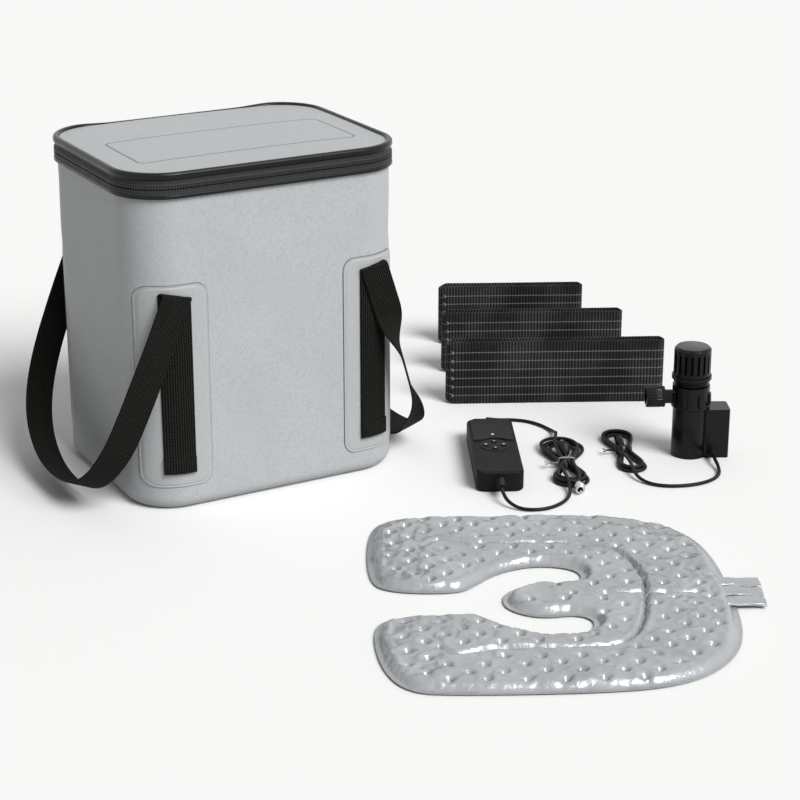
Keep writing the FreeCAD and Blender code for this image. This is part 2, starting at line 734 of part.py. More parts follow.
def case_half(name, foot, rise, hollow_foot, hollow_rise):
    """One half of the case: a rounded tray with round gaps for the two strain reliefs."""
    outline = (size.case_width, size.case_length, size.case_corner)
    inner = (size.case_width - 2 * size.case_wall, size.case_length - 2 * size.case_wall,
             size.case_corner - size.case_wall)
    body = slab(name, outline, foot, rise, place=CONTROLLER)
    outer_height = foot if name == "controller_back" else foot + rise
    round_edges(body, size.case_round, level(outer_height))
    cut_slab(body, inner, hollow_foot, hollow_rise)
    return body


def cut_relief_gaps(body):
    """Cut the half-round gaps that clamp the necks of both strain reliefs."""
    sketch = new_sketch(body, "front", size.case_length / 2)
    draw_circle(sketch, size.relief_neck, 0, size.case_split)
    pocket(body, sketch, size.case_length, reverse=False)


def add_bosses(body, foot, rise):
    """Add the four screw bosses."""
    sketch = new_sketch(body, "top", foot)
    for across, along in BOSSES:
        draw_circle(sketch, size.boss_radius, across, along)
    pad(body, sketch, rise)


def bore_bosses(body, radius, foot, rise):
    """Bore the four bosses."""
    sketch = new_sketch(body, "top", foot)
    for across, along in BOSSES:
        draw_circle(sketch, radius, across, along)
    pocket(body, sketch, rise)


def make_case():
    """The two halves of the moulded case, its four screws and the indicator lens."""
    back = case_half("controller_back", 0, size.case_split, size.case_wall, size.case_split)
    add_bosses(back, size.case_wall, size.board_rise - size.case_wall)
    bore_bosses(back, size.screw_radius, 0, size.board_rise)
    bore_bosses(back, size.screw_head, 0, size.screw_head_rise)
    cut_relief_gaps(back)

    front = case_half("controller_front", size.case_split, size.case_rise - size.case_split,
                      size.case_split, KEYPAD_FOOT - size.case_split)
    brow = new_sketch(front, "top", size.case_rise)
    half = size.case_width / 2 - size.case_round - size.brow_inset
    top = size.case_length / 2 - size.case_round - size.brow_inset
    chamfer = size.case_corner / 2
    draw_polygon(brow, [(-half, size.brow_foot), (half, size.brow_foot), (half, top - chamfer),
                        (half - chamfer, top), (chamfer - half, top), (-half, top - chamfer)])
    pad(front, brow, size.brow_rise)
    arch = new_sketch(front, "top", size.case_rise, (0, size.keypad_place))
    draw_circle(arch, size.brow_arch)
    pocket(front, arch, size.brow_rise)
    add_bosses(front, BOARD_TOP, KEYPAD_FOOT - BOARD_TOP)
    bore_bosses(front, size.screw_radius, BOARD_TOP, size.screw_length - BOARD_TOP)
    well = new_sketch(front, "top", KEYPAD_FOOT, (0, size.keypad_place))
    draw_circle(well, size.keypad_radius)
    pocket(front, well, size.case_wall)
    lens_hole = new_sketch(front, "top", KEYPAD_FOOT, (0, size.lens_place))
    draw_circle(lens_hole, size.lens_radius)
    pocket(front, lens_hole, size.case_wall + size.brow_rise)
    cut_relief_gaps(front)

    lens = new_body("indicator_lens", CONTROLLER)
    sketch = new_sketch(lens, "top", KEYPAD_FOOT, (0, size.lens_place))
    draw_circle(sketch, size.lens_radius)
    pad(lens, sketch, size.case_wall + size.brow_rise + size.lens_proud)
    collar = new_sketch(lens, "top", KEYPAD_FOOT - size.key_flange, (0, size.lens_place))
    draw_circle(collar, size.lens_radius + size.key_flange)
    pad(lens, collar, size.key_flange)

    screws = new_body("case_screws", CONTROLLER)
    heads = new_sketch(screws, "top", 0)
    shanks = new_sketch(screws, "top", 0)
    for across, along in BOSSES:
        draw_circle(heads, size.screw_head, across, along)
        draw_circle(shanks, size.screw_radius, across, along)
    pad(screws, heads, size.screw_head_rise)
    pad(screws, shanks, size.screw_length)


def make_board():
    """The circuit board on its bosses, and one tact switch under each key."""
    outline = (size.board_width, size.board_length, size.board_corner)
    board = slab("circuit_board", outline, size.board_rise, size.board_thick, place=CONTROLLER)
    grip = size.case_wall
    sketch = new_sketch(board, "top", size.board_rise)
    for across, along in BOSSES:
        draw_circle(sketch, size.screw_radius + size.board_fit, across, along)
    for end in (-1, 1):
        draw_rounded_notch(sketch, end, grip)
    pocket(board, sketch, size.board_thick)

    switches = new_body("tact_switches", CONTROLLER)
    height = FLANGE_TOP - size.key_flange_rise - size.key_travel - size.switch_gap - BOARD_TOP
    sketch = new_sketch(switches, "top", BOARD_TOP)
    half = size.switch_side / 2
    for across, along in KEY_PLACES.values():
        middle = size.keypad_place + along
        draw_polygon(sketch, box_points(across - half, across + half, middle - half, middle + half))
    pad(switches, sketch, height)


def draw_rounded_notch(sketch, end, depth):
    """Draw the notch in one end of the board, clear of a strain relief."""
    half = size.relief_root + size.relief_fit
    edge = size.board_length / 2
    low, high = edge - depth, edge + depth
    if end < 0:
        low, high = -high, -low
    draw_polygon(sketch, box_points(-half, half, low, high))


def make_keypad():
    """The round keypad plate and its four keys, each held in by a flange under the plate."""
    plate = new_body("keypad_plate", CONTROLLER)
    sketch = new_sketch(plate, "top", KEYPAD_FOOT, (0, size.keypad_place))
    draw_circle(sketch, size.keypad_radius)
    pad(plate, sketch, size.keypad_rise)
    for name, (across, along) in KEY_PLACES.items():
        hole = new_sketch(plate, "top", KEYPAD_FOOT, (across, size.keypad_place + along))
        draw_key(hole, name, size.key_fit)
        pocket(plate, hole, size.keypad_rise)
    rim = new_sketch(plate, "top", KEYPAD_FOOT - size.key_flange, (0, size.keypad_place))
    draw_circle(rim, size.keypad_radius + size.key_flange)
    draw_circle(rim, size.keypad_radius - size.key_flange)
    pad(plate, rim, size.key_flange)

    for name, (across, along) in KEY_PLACES.items():
        key = new_body(name, CONTROLLER)
        centre = (across, size.keypad_place + along)
        stem = new_sketch(key, "top", FLANGE_TOP - size.key_flange_rise, centre)
        draw_key(stem, name, 0)
        pad(key, stem, KEYPAD_TOP + size.key_proud - FLANGE_TOP + size.key_flange_rise)
        flange = new_sketch(key, "top", FLANGE_TOP - size.key_flange_rise, centre)
        draw_key(flange, name, size.key_flange)
        pad(key, flange, size.key_flange_rise)


def make_reliefs():
    """The two tapered strain reliefs, each with a neck and an inner flange."""
    end = size.case_length / 2
    inner = end - size.case_wall
    flange = inner - size.key_flange_rise
    flange_radius = size.relief_root - size.relief_fit
    tip = end + size.relief_length
    for name, sign in (("inlet_relief", 1), ("outlet_relief", -1)):
        profile = [(0, flange), (flange_radius, flange), (flange_radius, inner),
                   (size.relief_neck, inner), (size.relief_neck, end), (size.relief_root, end),
                   (size.relief_tip, tip), (0, tip)]
        if sign < 0:
            profile = [(x, -y) for x, y in profile]
        body = new_body(name, CONTROLLER)
        turn_about(body, "top", "V_Axis", profile, offset=size.case_split)


# The leads leave the reliefs level, come down to the floor and run round to the hank's two ends.
LEAD_REST = size.lead_thick / 2 + size.lead_lift
RELIEF_END = size.case_length / 2 + size.relief_length
HANK_X, HANK_TOP_Y, HANK_FOOT_Y = 59, 50, -58
POWER_LEAD = ((0, RELIEF_END, size.case_split), (0, 86, size.case_split), (3, 95, 5.5),
              (12, 101.5, 2), (24, 103, LEAD_REST), (38, 98.5, LEAD_REST), (49, 88, LEAD_REST),
              (56, 75, LEAD_REST), (HANK_X, 62, 4), (HANK_X, HANK_TOP_Y, 4))
OUTPUT_LEAD = ((0, -RELIEF_END, size.case_split), (0, -86, size.case_split), (3, -95.5, 5.5),
               (12, -103, 2), (24, -105.5, LEAD_REST), (37, -102, LEAD_REST),
               (47.5, -93, LEAD_REST), (54.5, -81.5, LEAD_REST), (57.5, -69.5, 4),
               (57.5, HANK_FOOT_Y, 4))
# Plan of the tied hank: an upper and a lower lobe, drawn in where the tie holds it.
HANK_OUTLINE = ((46, 50), (73, 50), (81, 40), (81, 14), (74, -2), (67, -10), (67, -17),
                (74, -30), (77, -44), (73, -58), (52, -58), (46, -48), (46, -30), (54, -17),
                (54, -10), (45, 0), (42, 14), (42, 38))
UPPER_EYE = ((55, 42), (69, 42), (71, 34), (70, 12), (62, 3), (54, 11), (53, 34))
LOWER_EYE = ((57, -50), (66, -50), (68, -40), (65, -28), (61, -24), (57, -29), (55, -40))
LEAD_TIE, LEAD_TIE_HALF = (60.5, -13.5), 7.6
# Where the plug and the connector lie in the hank, and their turned profiles: each ring is a
# share of the length and a share of the radius.
PLUG_START, SOCKET_START = (62, 6.5), (65.5, HANK_FOOT_Y)
PLUG_RINGS = ((0, 0.5), (0.3, 1), (0.62, 1), (0.62, 0.8), (0.66, 0.5), (1, 0.5))
SOCKET_RINGS = ((0, 0.6), (0.2, 1), (1, 1))


def flat_points(points):
    """Plan points as vectors on the floor."""
    return [as_point(x, y) for x, y in points]


def make_hank(name, outline, eyes, rise, place):
    """The closed outer form of a tied hank, open inside its lobes."""
    solid = prism(closed_outline(flat_points(outline)), rise)
    for eye in eyes:
        solid = solid.cut(prism(closed_outline(flat_points(eye)), rise))
    free_part(name, solid, place)


def make_tie(name, centre, half, rise, place):
    """A twist tie round a hank's waist, its two ends left standing out at the side."""
    x, y = centre
    wall, width, tail = float(size.tie_wall), float(size.tie_width), float(size.tie_tail)
    low, high = y - width / 2, y + width / 2
    height = float(rise)
    outer = Part.makeBox(2 * (half + wall), high - low, height + wall,
                         Vector(x - half - wall, low, 0))
    inner = Part.makeBox(2 * half, high - low, height, Vector(x - half, low, 0))
    tie = outer.cut(inner)
    side = x - half - wall
    for lift, splay in ((size.tie_low_tail, size.tie_splay), (size.tie_high_tail, -size.tie_splay)):
        end = Part.makeBox(tail, width / 2, wall, as_point(side - tail, y, lift))
        end.rotate(as_point(side, y, lift), UP, float(splay))
        tie = tie.fuse(end)
    free_part(name, tie.removeSplitter(), place)


def moved(solid, base, turn):
    """A copy of a solid, turned and moved, whose own placement is left at the origin."""
    return solid.transformed(FreeCAD.Placement(base, turn).toMatrix(), copy=True)


def rod_along(start, way, radius, length, rings):
    """A stepped round rod: each ring is a share of the length and a share of the radius."""
    profile = [Vector(0, 0, 0)]
    for along, out in rings:
        profile.append(Vector(out * float(radius), 0, along * float(length)))
    profile.append(Vector(0, 0, float(length)))
    face = Part.Face(Part.makePolygon(profile + profile[:1]))
    solid = face.revolve(Vector(0, 0, 0), UP, 360)
    return moved(solid, start, FreeCAD.Rotation(UP, way))


def make_controller_cords():
    """Both leads, the hank that they are tied in, and what is on their ends."""
    cord("power_lead", POWER_LEAD, size.lead_thick, CONTROLLER)
    cord("output_lead", OUTPUT_LEAD, size.lead_thick, CONTROLLER)
    make_hank("controller_lead_hank", HANK_OUTLINE, (UPPER_EYE, LOWER_EYE), size.hank_rise, CONTROLLER)
    make_tie("lead_tie", LEAD_TIE, LEAD_TIE_HALF, size.hank_rise, CONTROLLER)
    plug = rod_along(as_point(*PLUG_START, size.plug_radius), Vector(0, 1, 0),
                     size.plug_radius, size.plug_length, PLUG_RINGS)
    free_part("power_plug", plug, CONTROLLER)
    socket = rod_along(as_point(*SOCKET_START, size.socket_radius), Vector(0, -1, 0),
                       size.socket_radius, size.socket_length, SOCKET_RINGS)
    free_part("output_connector", socket, CONTROLLER)


# ---------------------------------------------------------------- pump

VOLUTE_FOOT = size.motor_rise + size.well_flange
VOLUTE_TOP = VOLUTE_FOOT + size.volute_rise
NECK_TOP = VOLUTE_TOP + size.neck_rise
COLLAR_FOOT = VOLUTE_TOP + size.neck_rise / 2
FILTER_FOOT = COLLAR_FOOT + size.collar_rise + size.filter_gap
WELL_FLOOR = size.well_foot + size.well_wall
WELL_RIM = size.motor_radius - size.well_inset
IMPELLER_FOOT = VOLUTE_FOOT + size.impeller_gap


def make_motor():
    """The sealed motor: housing with its side block, rotor well, stator and fixed shaft."""
    housing = new_body("motor_housing", PUMP)
    sketch = new_sketch(housing, "top", 0)
    draw_circle(sketch, size.motor_radius)
    pad(housing, sketch, size.motor_rise)
    inner_x = size.block_reach - size.block_width
    middle = (size.block_reach + inner_x - size.block_bury) / 2
    add_slab(housing, (size.block_width + size.block_bury, size.block_depth, size.block_corner),
             0, size.motor_rise, shift=(middle, 0))
    bore = new_sketch(housing, "top", size.motor_wall)
    draw_circle(bore, size.motor_radius - size.motor_wall)
    pocket(housing, bore, size.motor_rise)

    well = new_body("rotor_well", PUMP)
    inner = size.well_radius - size.well_wall
    turn_about(well, "front", "V_Axis", [
        (0, size.well_foot), (size.well_radius, size.well_foot),
        (size.well_radius, size.motor_rise), (WELL_RIM, size.motor_rise), (WELL_RIM, VOLUTE_FOOT),
        (inner, VOLUTE_FOOT), (inner, WELL_FLOOR), (0, WELL_FLOOR)])

    stator = new_body("stator", PUMP)
    sketch = new_sketch(stator, "top", size.motor_wall)
    draw_circle(sketch, size.motor_radius - size.motor_wall - size.stator_gap)
    draw_circle(sketch, size.well_radius + size.stator_gap)
    pad(stator, sketch, size.stator_rise)

    shaft = new_body("rotor_shaft", PUMP)
    sketch = new_sketch(shaft, "top", WELL_FLOOR)
    draw_circle(sketch, size.shaft_radius)
    pad(shaft, sketch, IMPELLER_FOOT + size.impeller_rise - WELL_FLOOR)


def make_rotor():
    """The magnet rotor and the six-bladed impeller that turn together on the shaft."""
    magnet = new_body("rotor_magnet", PUMP)
    sketch = new_sketch(magnet, "top", size.magnet_foot)
    draw_circle(sketch, size.magnet_radius)
    draw_circle(sketch, size.sleeve_radius)
    pad(magnet, sketch, size.magnet_rise)

    impeller = new_body("impeller", PUMP)
    bore = size.shaft_radius + size.shaft_fit
    hub = size.sleeve_radius + size.hub_wall
    disc_top = IMPELLER_FOOT + size.blade_wall
    turn_about(impeller, "front", "V_Axis", [
        (bore, size.magnet_foot), (size.sleeve_radius, size.magnet_foot),
        (size.sleeve_radius, IMPELLER_FOOT), (size.impeller_radius, IMPELLER_FOOT),
        (size.impeller_radius, disc_top), (hub, disc_top),
        (hub, IMPELLER_FOOT + size.impeller_rise), (bore, IMPELLER_FOOT + size.impeller_rise)])
    blade = new_sketch(impeller, "top", disc_top)
    half = size.blade_wall / 2
    draw_polygon(blade, box_points(size.sleeve_radius, size.impeller_radius - size.blade_inset,
                                   -half, half))
    feature = pad(impeller, blade, size.impeller_rise - 2 * size.blade_wall)
    pattern = impeller.newObject("PartDesign::PolarPattern", "impeller_blades")
    pattern.Originals = [feature]
    pattern.Axis = (blade, ["N_Axis"])
    pattern.Angle = 360
    pattern.Occurrences = 6
    impeller.Tip = pattern


def make_volute():
    """The pump chamber with its inlet neck, collar and side spout, and the ring under it."""
    volute = new_body("volute_housing", PUMP)
    step = size.neck_radius + size.neck_step
    profile = [
        (size.neck_bore, VOLUTE_FOOT + size.chamber_rise), (size.neck_bore, NECK_TOP),
        (size.neck_radius, NECK_TOP), (size.neck_radius, COLLAR_FOOT + size.collar_rise),
        (size.collar_radius, COLLAR_FOOT + size.collar_rise), (size.collar_radius, COLLAR_FOOT),
        (step, COLLAR_FOOT), (step, VOLUTE_TOP),
        (size.volute_radius, VOLUTE_TOP), (size.volute_radius, VOLUTE_FOOT),
        (size.chamber_radius, VOLUTE_FOOT), (size.chamber_radius, VOLUTE_FOOT + size.chamber_rise)]
    turn_about(volute, "front", "V_Axis", profile)
    spout = new_sketch(volute, "side", -size.spout_reach, (0, size.spout_place))
    draw_circle(spout, size.spout_radius)
    pad(volute, spout, size.spout_reach - (size.chamber_radius + size.volute_radius) / 2)
    bore = new_sketch(volute, "side", -size.spout_reach, (0, size.spout_place))
    draw_circle(bore, size.spout_bore)
    pocket(volute, bore, size.spout_reach)

    seal = new_body("volute_seal", PUMP)
    sketch = new_sketch(seal, "top", size.motor_rise)
    inner = WELL_RIM + size.seal_gap
    draw_circle(sketch, inner)
    draw_circle(sketch, inner + size.seal_thick)
    pad(seal, sketch, size.well_flange)


def make_pump_fittings():
    """The slotted inlet filter cap, the spout's threaded nut and the cable gland."""
    cap = new_body("inlet_filter", PUMP)
    top = FILTER_FOOT + size.filter_rise
    wall, radius = size.filter_wall, size.filter_radius
    chamfer, bevel = size.filter_chamfer, size.filter_bevel
    bore = size.neck_radius + size.nut_fit
    inner, ceiling = radius - wall, top - wall
    turn_about(cap, "front", "V_Axis", [
        (bore, FILTER_FOOT), (radius, FILTER_FOOT), (radius, top - chamfer),
        (radius - chamfer, top), (0, top), (0, ceiling), (inner - bevel, ceiling),
        (inner, ceiling - bevel), (inner, FILTER_FOOT + wall), (bore, FILTER_FOOT + wall)])
    slot_middle = FILTER_FOOT + size.slot_foot + size.slot_rise / 2
    slot = new_sketch(cap, "side", radius - 2 * wall, (0, slot_middle))
    draw_rounded(slot, size.slot_width, size.slot_rise, size.slot_width / 2 - size.slot_flat)
    feature = pocket(cap, slot, 3 * wall)
    pattern = cap.newObject("PartDesign::PolarPattern", "inlet_filter_slots")
    pattern.Originals = [feature]
    pattern.Axis = (cap.Origin.OriginFeatures[2], [""])
    pattern.Angle = 360
    pattern.Occurrences = SIZES["filter_slots"]
    pattern.setExpression("Occurrences", size.filter_slots.text)
    cap.Tip = pattern

    nut = new_body("outlet_nut", PUMP)
    end = -size.spout_reach - size.nut_overhang
    back = end + size.nut_length
    chamfer, outer = size.nut_chamfer, size.nut_radius
    inner = size.spout_radius + size.nut_fit
    turn_about(nut, "top", "H_Axis", [
        (end, inner), (back, inner), (back, outer - chamfer), (back - chamfer, outer),
        (end + chamfer, outer), (end, outer - chamfer)], offset=size.spout_place)

    gland = new_body("cable_gland", PUMP)
    face = -size.block_depth / 2
    tip = face - size.gland_length
    turn_about(gland, "top", "V_Axis", [
        (0, face), (size.gland_root, face), (size.gland_tip, tip), (0, tip)],
        offset=size.gland_height, shift=(size.gland_place, 0))


PUMP_HANK_X, PUMP_HANK_FOOT = -54, -46
PUMP_HANK_OUTLINE = ((-66, 49), (-50, 49), (-44, 40), (-45, 20), (-50, 8), (-51, 0), (-45, -10),
                     (-40, -26), (-42, -40), (-49, -46), (-60, -46), (-66, -38), (-66, -20),
                     (-62, -8), (-61, 0), (-67, 10), (-71, 24), (-71, 41))
PUMP_UPPER_EYE = ((-62, 40), (-54, 40), (-52, 30), (-56, 17), (-61, 16), (-63, 28))
PUMP_LOWER_EYE = ((-58, -36), (-50, -36), (-48, -28), (-52, -16), (-56, -13), (-59, -22))
PUMP_TIE, PUMP_TIE_HALF = (-56.2, -1), 7.3


def make_pump_cable():
    """The pump's cable: out of the gland, round on the floor and into its tied hank."""
    rest = LEAD_REST
    gland_end = -size.block_depth / 2 - size.gland_length
    route = ((size.gland_place, gland_end, size.gland_height),
             (size.gland_place, -29, size.gland_height), (19.5, -40, 3), (18, -53, rest),
             (10, -65, rest), (-3, -73.5, rest), (-19, -77.5, rest), (-34, -76.5, rest),
             (-46, -70, rest), (PUMP_HANK_X, -59, 3.5), (PUMP_HANK_X, PUMP_HANK_FOOT, 3.5))
    cord("pump_cable", route, size.lead_thick, PUMP)
    make_hank("pump_cable_hank", PUMP_HANK_OUTLINE, (PUMP_UPPER_EYE, PUMP_LOWER_EYE),
              size.pump_hank_rise, PUMP)
    make_tie("pump_cable_tie", PUMP_TIE, PUMP_TIE_HALF, size.pump_hank_rise, PUMP)


# ---------------------------------------------------------------- pad

# Plan of the pad as shares of its width and length: a wide C round two small inner discs.
PAD_OUTLINE = ((-0.42, 0.5), (-0.49, 0.42), (-0.5, 0.11), (-0.44, 0.042), (-0.25, 0.03),
               (-0.2, 0.075), (-0.13, 0.15), (-0.02, 0.19), (0.085, 0.165), (0.105, 0.105),
               (0.06, 0.07), (-0.02, 0.085), (-0.075, 0.062), (-0.13, 0.02), (-0.135, -0.05),
               (-0.085, -0.098), (-0.02, -0.115), (0.06, -0.1), (0.105, -0.135), (0.085, -0.2),
               (-0.02, -0.215), (-0.13, -0.17), (-0.2, -0.1), (-0.25, -0.095), (-0.44, -0.1),
               (-0.495, -0.16), (-0.48, -0.36), (-0.42, -0.48), (-0.3, -0.5), (0.13, -0.5),
               (0.31, -0.46), (0.43, -0.36), (0.49, -0.22), (0.5, 0.0), (0.49, 0.22),
               (0.45, 0.36), (0.36, 0.45), (0.2, 0.495), (0.0, 0.5))


def make_pad():
    """The water pad: one closed welded form, and the three hose sleeves at its edge."""
    points = [as_point(across * size.pad_width, along * size.pad_length)
              for across, along in PAD_OUTLINE]
    free_part("pad_chamber", prism(closed_outline(points), size.pad_rise), PAD)

    sleeves = new_body("pad_hose_sleeves", PAD)
    edge = size.pad_width / 2
    middle = size.pad_rise / 2
    for index in (-1, 0, 1):
        centre = size.port_pitch * index
        sketch = new_sketch(sleeves, "side", edge, (centre, middle))
        for width, rise in ((size.port_width, size.port_rise),
                            (size.port_bore_width, size.port_bore_rise)):
            draw_rounded(sketch, width, rise, rise / 2 - size.port_flat)
        pad(sleeves, sketch, size.port_reach)


# ---------------------------------------------------------------- bands

def make_bands():
    """Three elastic bands, each a sewn loop folded flat and standing on its edge."""
    bands = (("elastic_band_small", size.small_band_length, SMALL_BAND),
             ("elastic_band_medium", size.medium_band_length, MEDIUM_BAND),
             ("elastic_band_large", size.large_band_length, LARGE_BAND))
    for name, length, place in bands:
        inner_fold = size.band_fold - 2 * size.band_wall
        outer = (length, size.band_fold, size.band_fold / 2 - size.band_flat)
        inner = (length - 2 * size.band_wall, inner_fold, inner_fold / 2 - size.band_flat)
        slab(name, outer, 0, size.band_rise, inner, place=place)


# ---------------------------------------------------------------- build, check and write

make_base_panel()
make_foam_base()
make_base_board()
make_walls()
make_zip_half("lower", LOWER_CHAIN_FOOT - size.lower_tape_rise, size.lower_tape_rise,
              LOWER_CHAIN_FOOT)
make_hinge_strip()
make_straps()
make_lid()
make_zip_half("upper", UPPER_CHAIN_TOP, size.upper_tape_rise, UPPER_CHAIN_FOOT)
make_slider()
make_pull()
make_loop("left_handle", -1, size.left_loop_tilt)
make_loop("right_handle", 1, size.right_loop_tilt)
make_case()
make_board()
make_keypad()
make_reliefs()
make_controller_cords()
make_motor()
make_rotor()
make_volute()
make_pump_fittings()
make_pump_cable()
make_pad()
make_bands()

doc.recompute()
for thing in doc.Objects:
    if "Invalid" in thing.State or "Error" in thing.State:
        raise ValueError(f"{thing.Name} could not be made")
for piece in subparts:
    if piece.Shape.isNull() or not piece.Shape.isValid() or not piece.Shape.Solids:
        raise ValueError(f"{piece.Label} has no valid solid")

os.makedirs("parts", exist_ok=True)
for piece in subparts:
    piece.Shape.exportStep(f"parts/{piece.Label}.step")
print(f"{len(subparts)} sub-parts written")
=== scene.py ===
"""A hot and cold therapy kit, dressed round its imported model.

The bucket stands at the origin with its front to -Y. The controller, pump, water pad and elastic
bands lie on the floor beside it. Sizes are in millimetres and are turned to metres in each mesh.
"""
import math

import bmesh
import bpy
import numpy as np
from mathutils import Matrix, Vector


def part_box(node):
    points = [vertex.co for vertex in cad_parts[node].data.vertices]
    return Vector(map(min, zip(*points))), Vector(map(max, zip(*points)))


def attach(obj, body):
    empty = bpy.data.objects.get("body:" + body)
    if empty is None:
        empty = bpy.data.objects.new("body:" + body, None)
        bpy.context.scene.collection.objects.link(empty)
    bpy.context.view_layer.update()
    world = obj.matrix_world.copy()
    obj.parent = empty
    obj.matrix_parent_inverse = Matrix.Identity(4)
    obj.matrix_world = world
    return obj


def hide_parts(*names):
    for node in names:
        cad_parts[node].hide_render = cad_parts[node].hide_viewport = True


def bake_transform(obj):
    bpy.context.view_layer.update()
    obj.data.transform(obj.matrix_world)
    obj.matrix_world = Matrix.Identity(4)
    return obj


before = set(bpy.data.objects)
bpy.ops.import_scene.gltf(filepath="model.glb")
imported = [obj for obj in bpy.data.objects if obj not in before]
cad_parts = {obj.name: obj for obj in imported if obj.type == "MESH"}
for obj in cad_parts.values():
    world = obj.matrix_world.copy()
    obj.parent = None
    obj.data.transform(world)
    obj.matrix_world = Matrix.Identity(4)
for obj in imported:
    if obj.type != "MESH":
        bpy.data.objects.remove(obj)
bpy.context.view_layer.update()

# ---------------------------------------------------------------- studio
# A plain pale floor that runs on out of view, an even white sky for the gloss to show, and
# one broad soft light from the front right and above. A long lens looks from the front left.

BUCKET_MIDDLE = Vector((0, 0, 0.14))
VIEW_AZIMUTH, VIEW_ELEVATION = math.radians(-24.55), math.radians(17.3)
VIEW_DISTANCE = 1.811
VIEW_AIM = Vector((0.14, -0.05, 0.04))
LENS = 96
SUN_WAY = Vector((0.19, -0.69, 0.70))
SUN_LEVEL = 0.86
SUN_SPREAD = math.radians(32)
SKY_SEEN, SKY_FILL, SKY_LEFT = 1.0, 0.34, 0.08
FLOOR_HALF = 12.0


def linear(colour):
    """An sRGB hex colour as linear red, green and blue, with full alpha."""
    channels = [int(colour[at:at + 2], 16) / 255 for at in (1, 3, 5)]
    return [c / 12.92 if c <= 0.04045 else ((c + 0.055) / 1.055) ** 2.4 for c in channels] + [1]


def node(tree, kind, inputs=(), **settings):
    """Adds one node, with its settings, and its inputs each given a value or a link."""
    added = tree.nodes.new(kind)
    for setting, value in settings.items():
        setattr(added, setting, value)
    for name, value in dict(inputs).items():
        if isinstance(value, bpy.types.NodeSocket):
            tree.links.new(value, added.inputs[name])
        else:
            added.inputs[name].default_value = value
    return added


def not_lit_way(tree):
    """One for rays that see a thing, straight, in a gloss or through glass, and nought for its light."""
    rays = node(tree, "ShaderNodeLightPath").outputs
    gloss = node(tree, "ShaderNodeMath", {0: rays["Is Camera Ray"], 1: rays["Is Glossy Ray"]},
                 operation="MAXIMUM")
    return node(tree, "ShaderNodeMath", {0: gloss.outputs[0], 1: rays["Is Transmission Ray"]},
                operation="MAXIMUM").outputs[0]


camera = bpy.data.objects.new("camera", bpy.data.cameras.new("camera"))
flat_reach = math.cos(VIEW_ELEVATION) * VIEW_DISTANCE
camera.location = BUCKET_MIDDLE + Vector((math.sin(VIEW_AZIMUTH) * flat_reach,
                                          -math.cos(VIEW_AZIMUTH) * flat_reach,
                                          math.sin(VIEW_ELEVATION) * VIEW_DISTANCE))
camera.rotation_mode = "QUATERNION"
camera.rotation_quaternion = (VIEW_AIM - camera.location).to_track_quat("-Z", "Y")
camera.data.lens = LENS
camera.data.clip_end = 60
scene = bpy.context.scene
scene.collection.objects.link(camera)
scene.camera = camera
scene.view_settings.view_transform = "Standard"

sun = bpy.data.objects.new("soft_light", bpy.data.lights.new("soft_light", "SUN"))
sun.data.energy = SUN_LEVEL * math.pi
sun.data.angle = SUN_SPREAD
sun.rotation_mode = "QUATERNION"
sun.rotation_quaternion = SUN_WAY.to_track_quat("Z", "Y")
scene.collection.objects.link(sun)

world = bpy.data.worlds.new("sky")
scene.world = world
world.use_nodes = True
sky = world.node_tree
sky.nodes.clear()
# The fill falls off toward the left, where the studio has no white wall.
toward = node(sky, "ShaderNodeSeparateXYZ", {0: node(sky, "ShaderNodeTexCoord").outputs["Generated"]})
strength = node(sky, "ShaderNodeMapRange", {"Value": toward.outputs["X"], "From Min": -1.0,
                                            "To Min": SKY_LEFT, "To Max": 2 * SKY_FILL - SKY_LEFT})
fill = node(sky, "ShaderNodeBackground", {"Color": linear("#FFFFFF"), "Strength": strength.outputs[0]})
seen = node(sky, "ShaderNodeBackground", {"Color": linear("#FFFFFF"), "Strength": SKY_SEEN})
mixed = node(sky, "ShaderNodeMixShader", {0: not_lit_way(sky), 1: fill.outputs[0], 2: seen.outputs[0]})
node(sky, "ShaderNodeOutputWorld", {"Surface": mixed.outputs[0]})

# Painted studio floor: near white to the eye, and greyer in the light that it throws back.
floor_paint = bpy.data.materials.new("studio_floor_paint")
floor_paint.use_nodes = True
paint = floor_paint.node_tree
paint.nodes.clear()
shown_floor = node(paint, "ShaderNodeBsdfDiffuse", {"Color": linear("#FFFFFE")})
giving_floor = node(paint, "ShaderNodeBsdfDiffuse", {"Color": linear("#B8B8B7")})
mixed = node(paint, "ShaderNodeMixShader", {0: not_lit_way(paint), 1: giving_floor.outputs[0],
                                            2: shown_floor.outputs[0]})
node(paint, "ShaderNodeOutputMaterial", {"Surface": mixed.outputs[0]})
floor_mesh = bpy.data.meshes.new("floor")
floor_mesh.from_pydata([(-FLOOR_HALF, -FLOOR_HALF, 0), (FLOOR_HALF, -FLOOR_HALF, 0),
                        (FLOOR_HALF, FLOOR_HALF, 0), (-FLOOR_HALF, FLOOR_HALF, 0)],
                       [], [(0, 1, 2, 3)])
floor_mesh.materials.append(floor_paint)
floor = bpy.data.objects.new("floor", floor_mesh)
scene.collection.objects.link(floor)

# ---------------------------------------------------------------- bucket skin
# The outer wall and base: nylon cloth with a grey thermoplastic coating, cut in panels and
# welded over foam, so it stands up straight but lies a little slack between its seams.

PER_MM = 0.001


def span(name):
    """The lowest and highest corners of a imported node, in millimetres."""
    return np.array([tuple(corner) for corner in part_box(name)]) / PER_MM


HALF_X, HALF_Y, WALL_TOP = span("outer_shell")[1]
CORNER = 40
FOOT_ROUND = 10
SKIN_WALL = 0.9
COLUMNS = 264
CORNER_RUN = CORNER * math.pi / 2
QUARTER = HALF_X + HALF_Y - 2 * CORNER + CORNER_RUN
ROUND_TRIP = 4 * QUARTER
FRONT_MIDDLE = 3 * QUARTER
BACK_MIDDLE = QUARTER
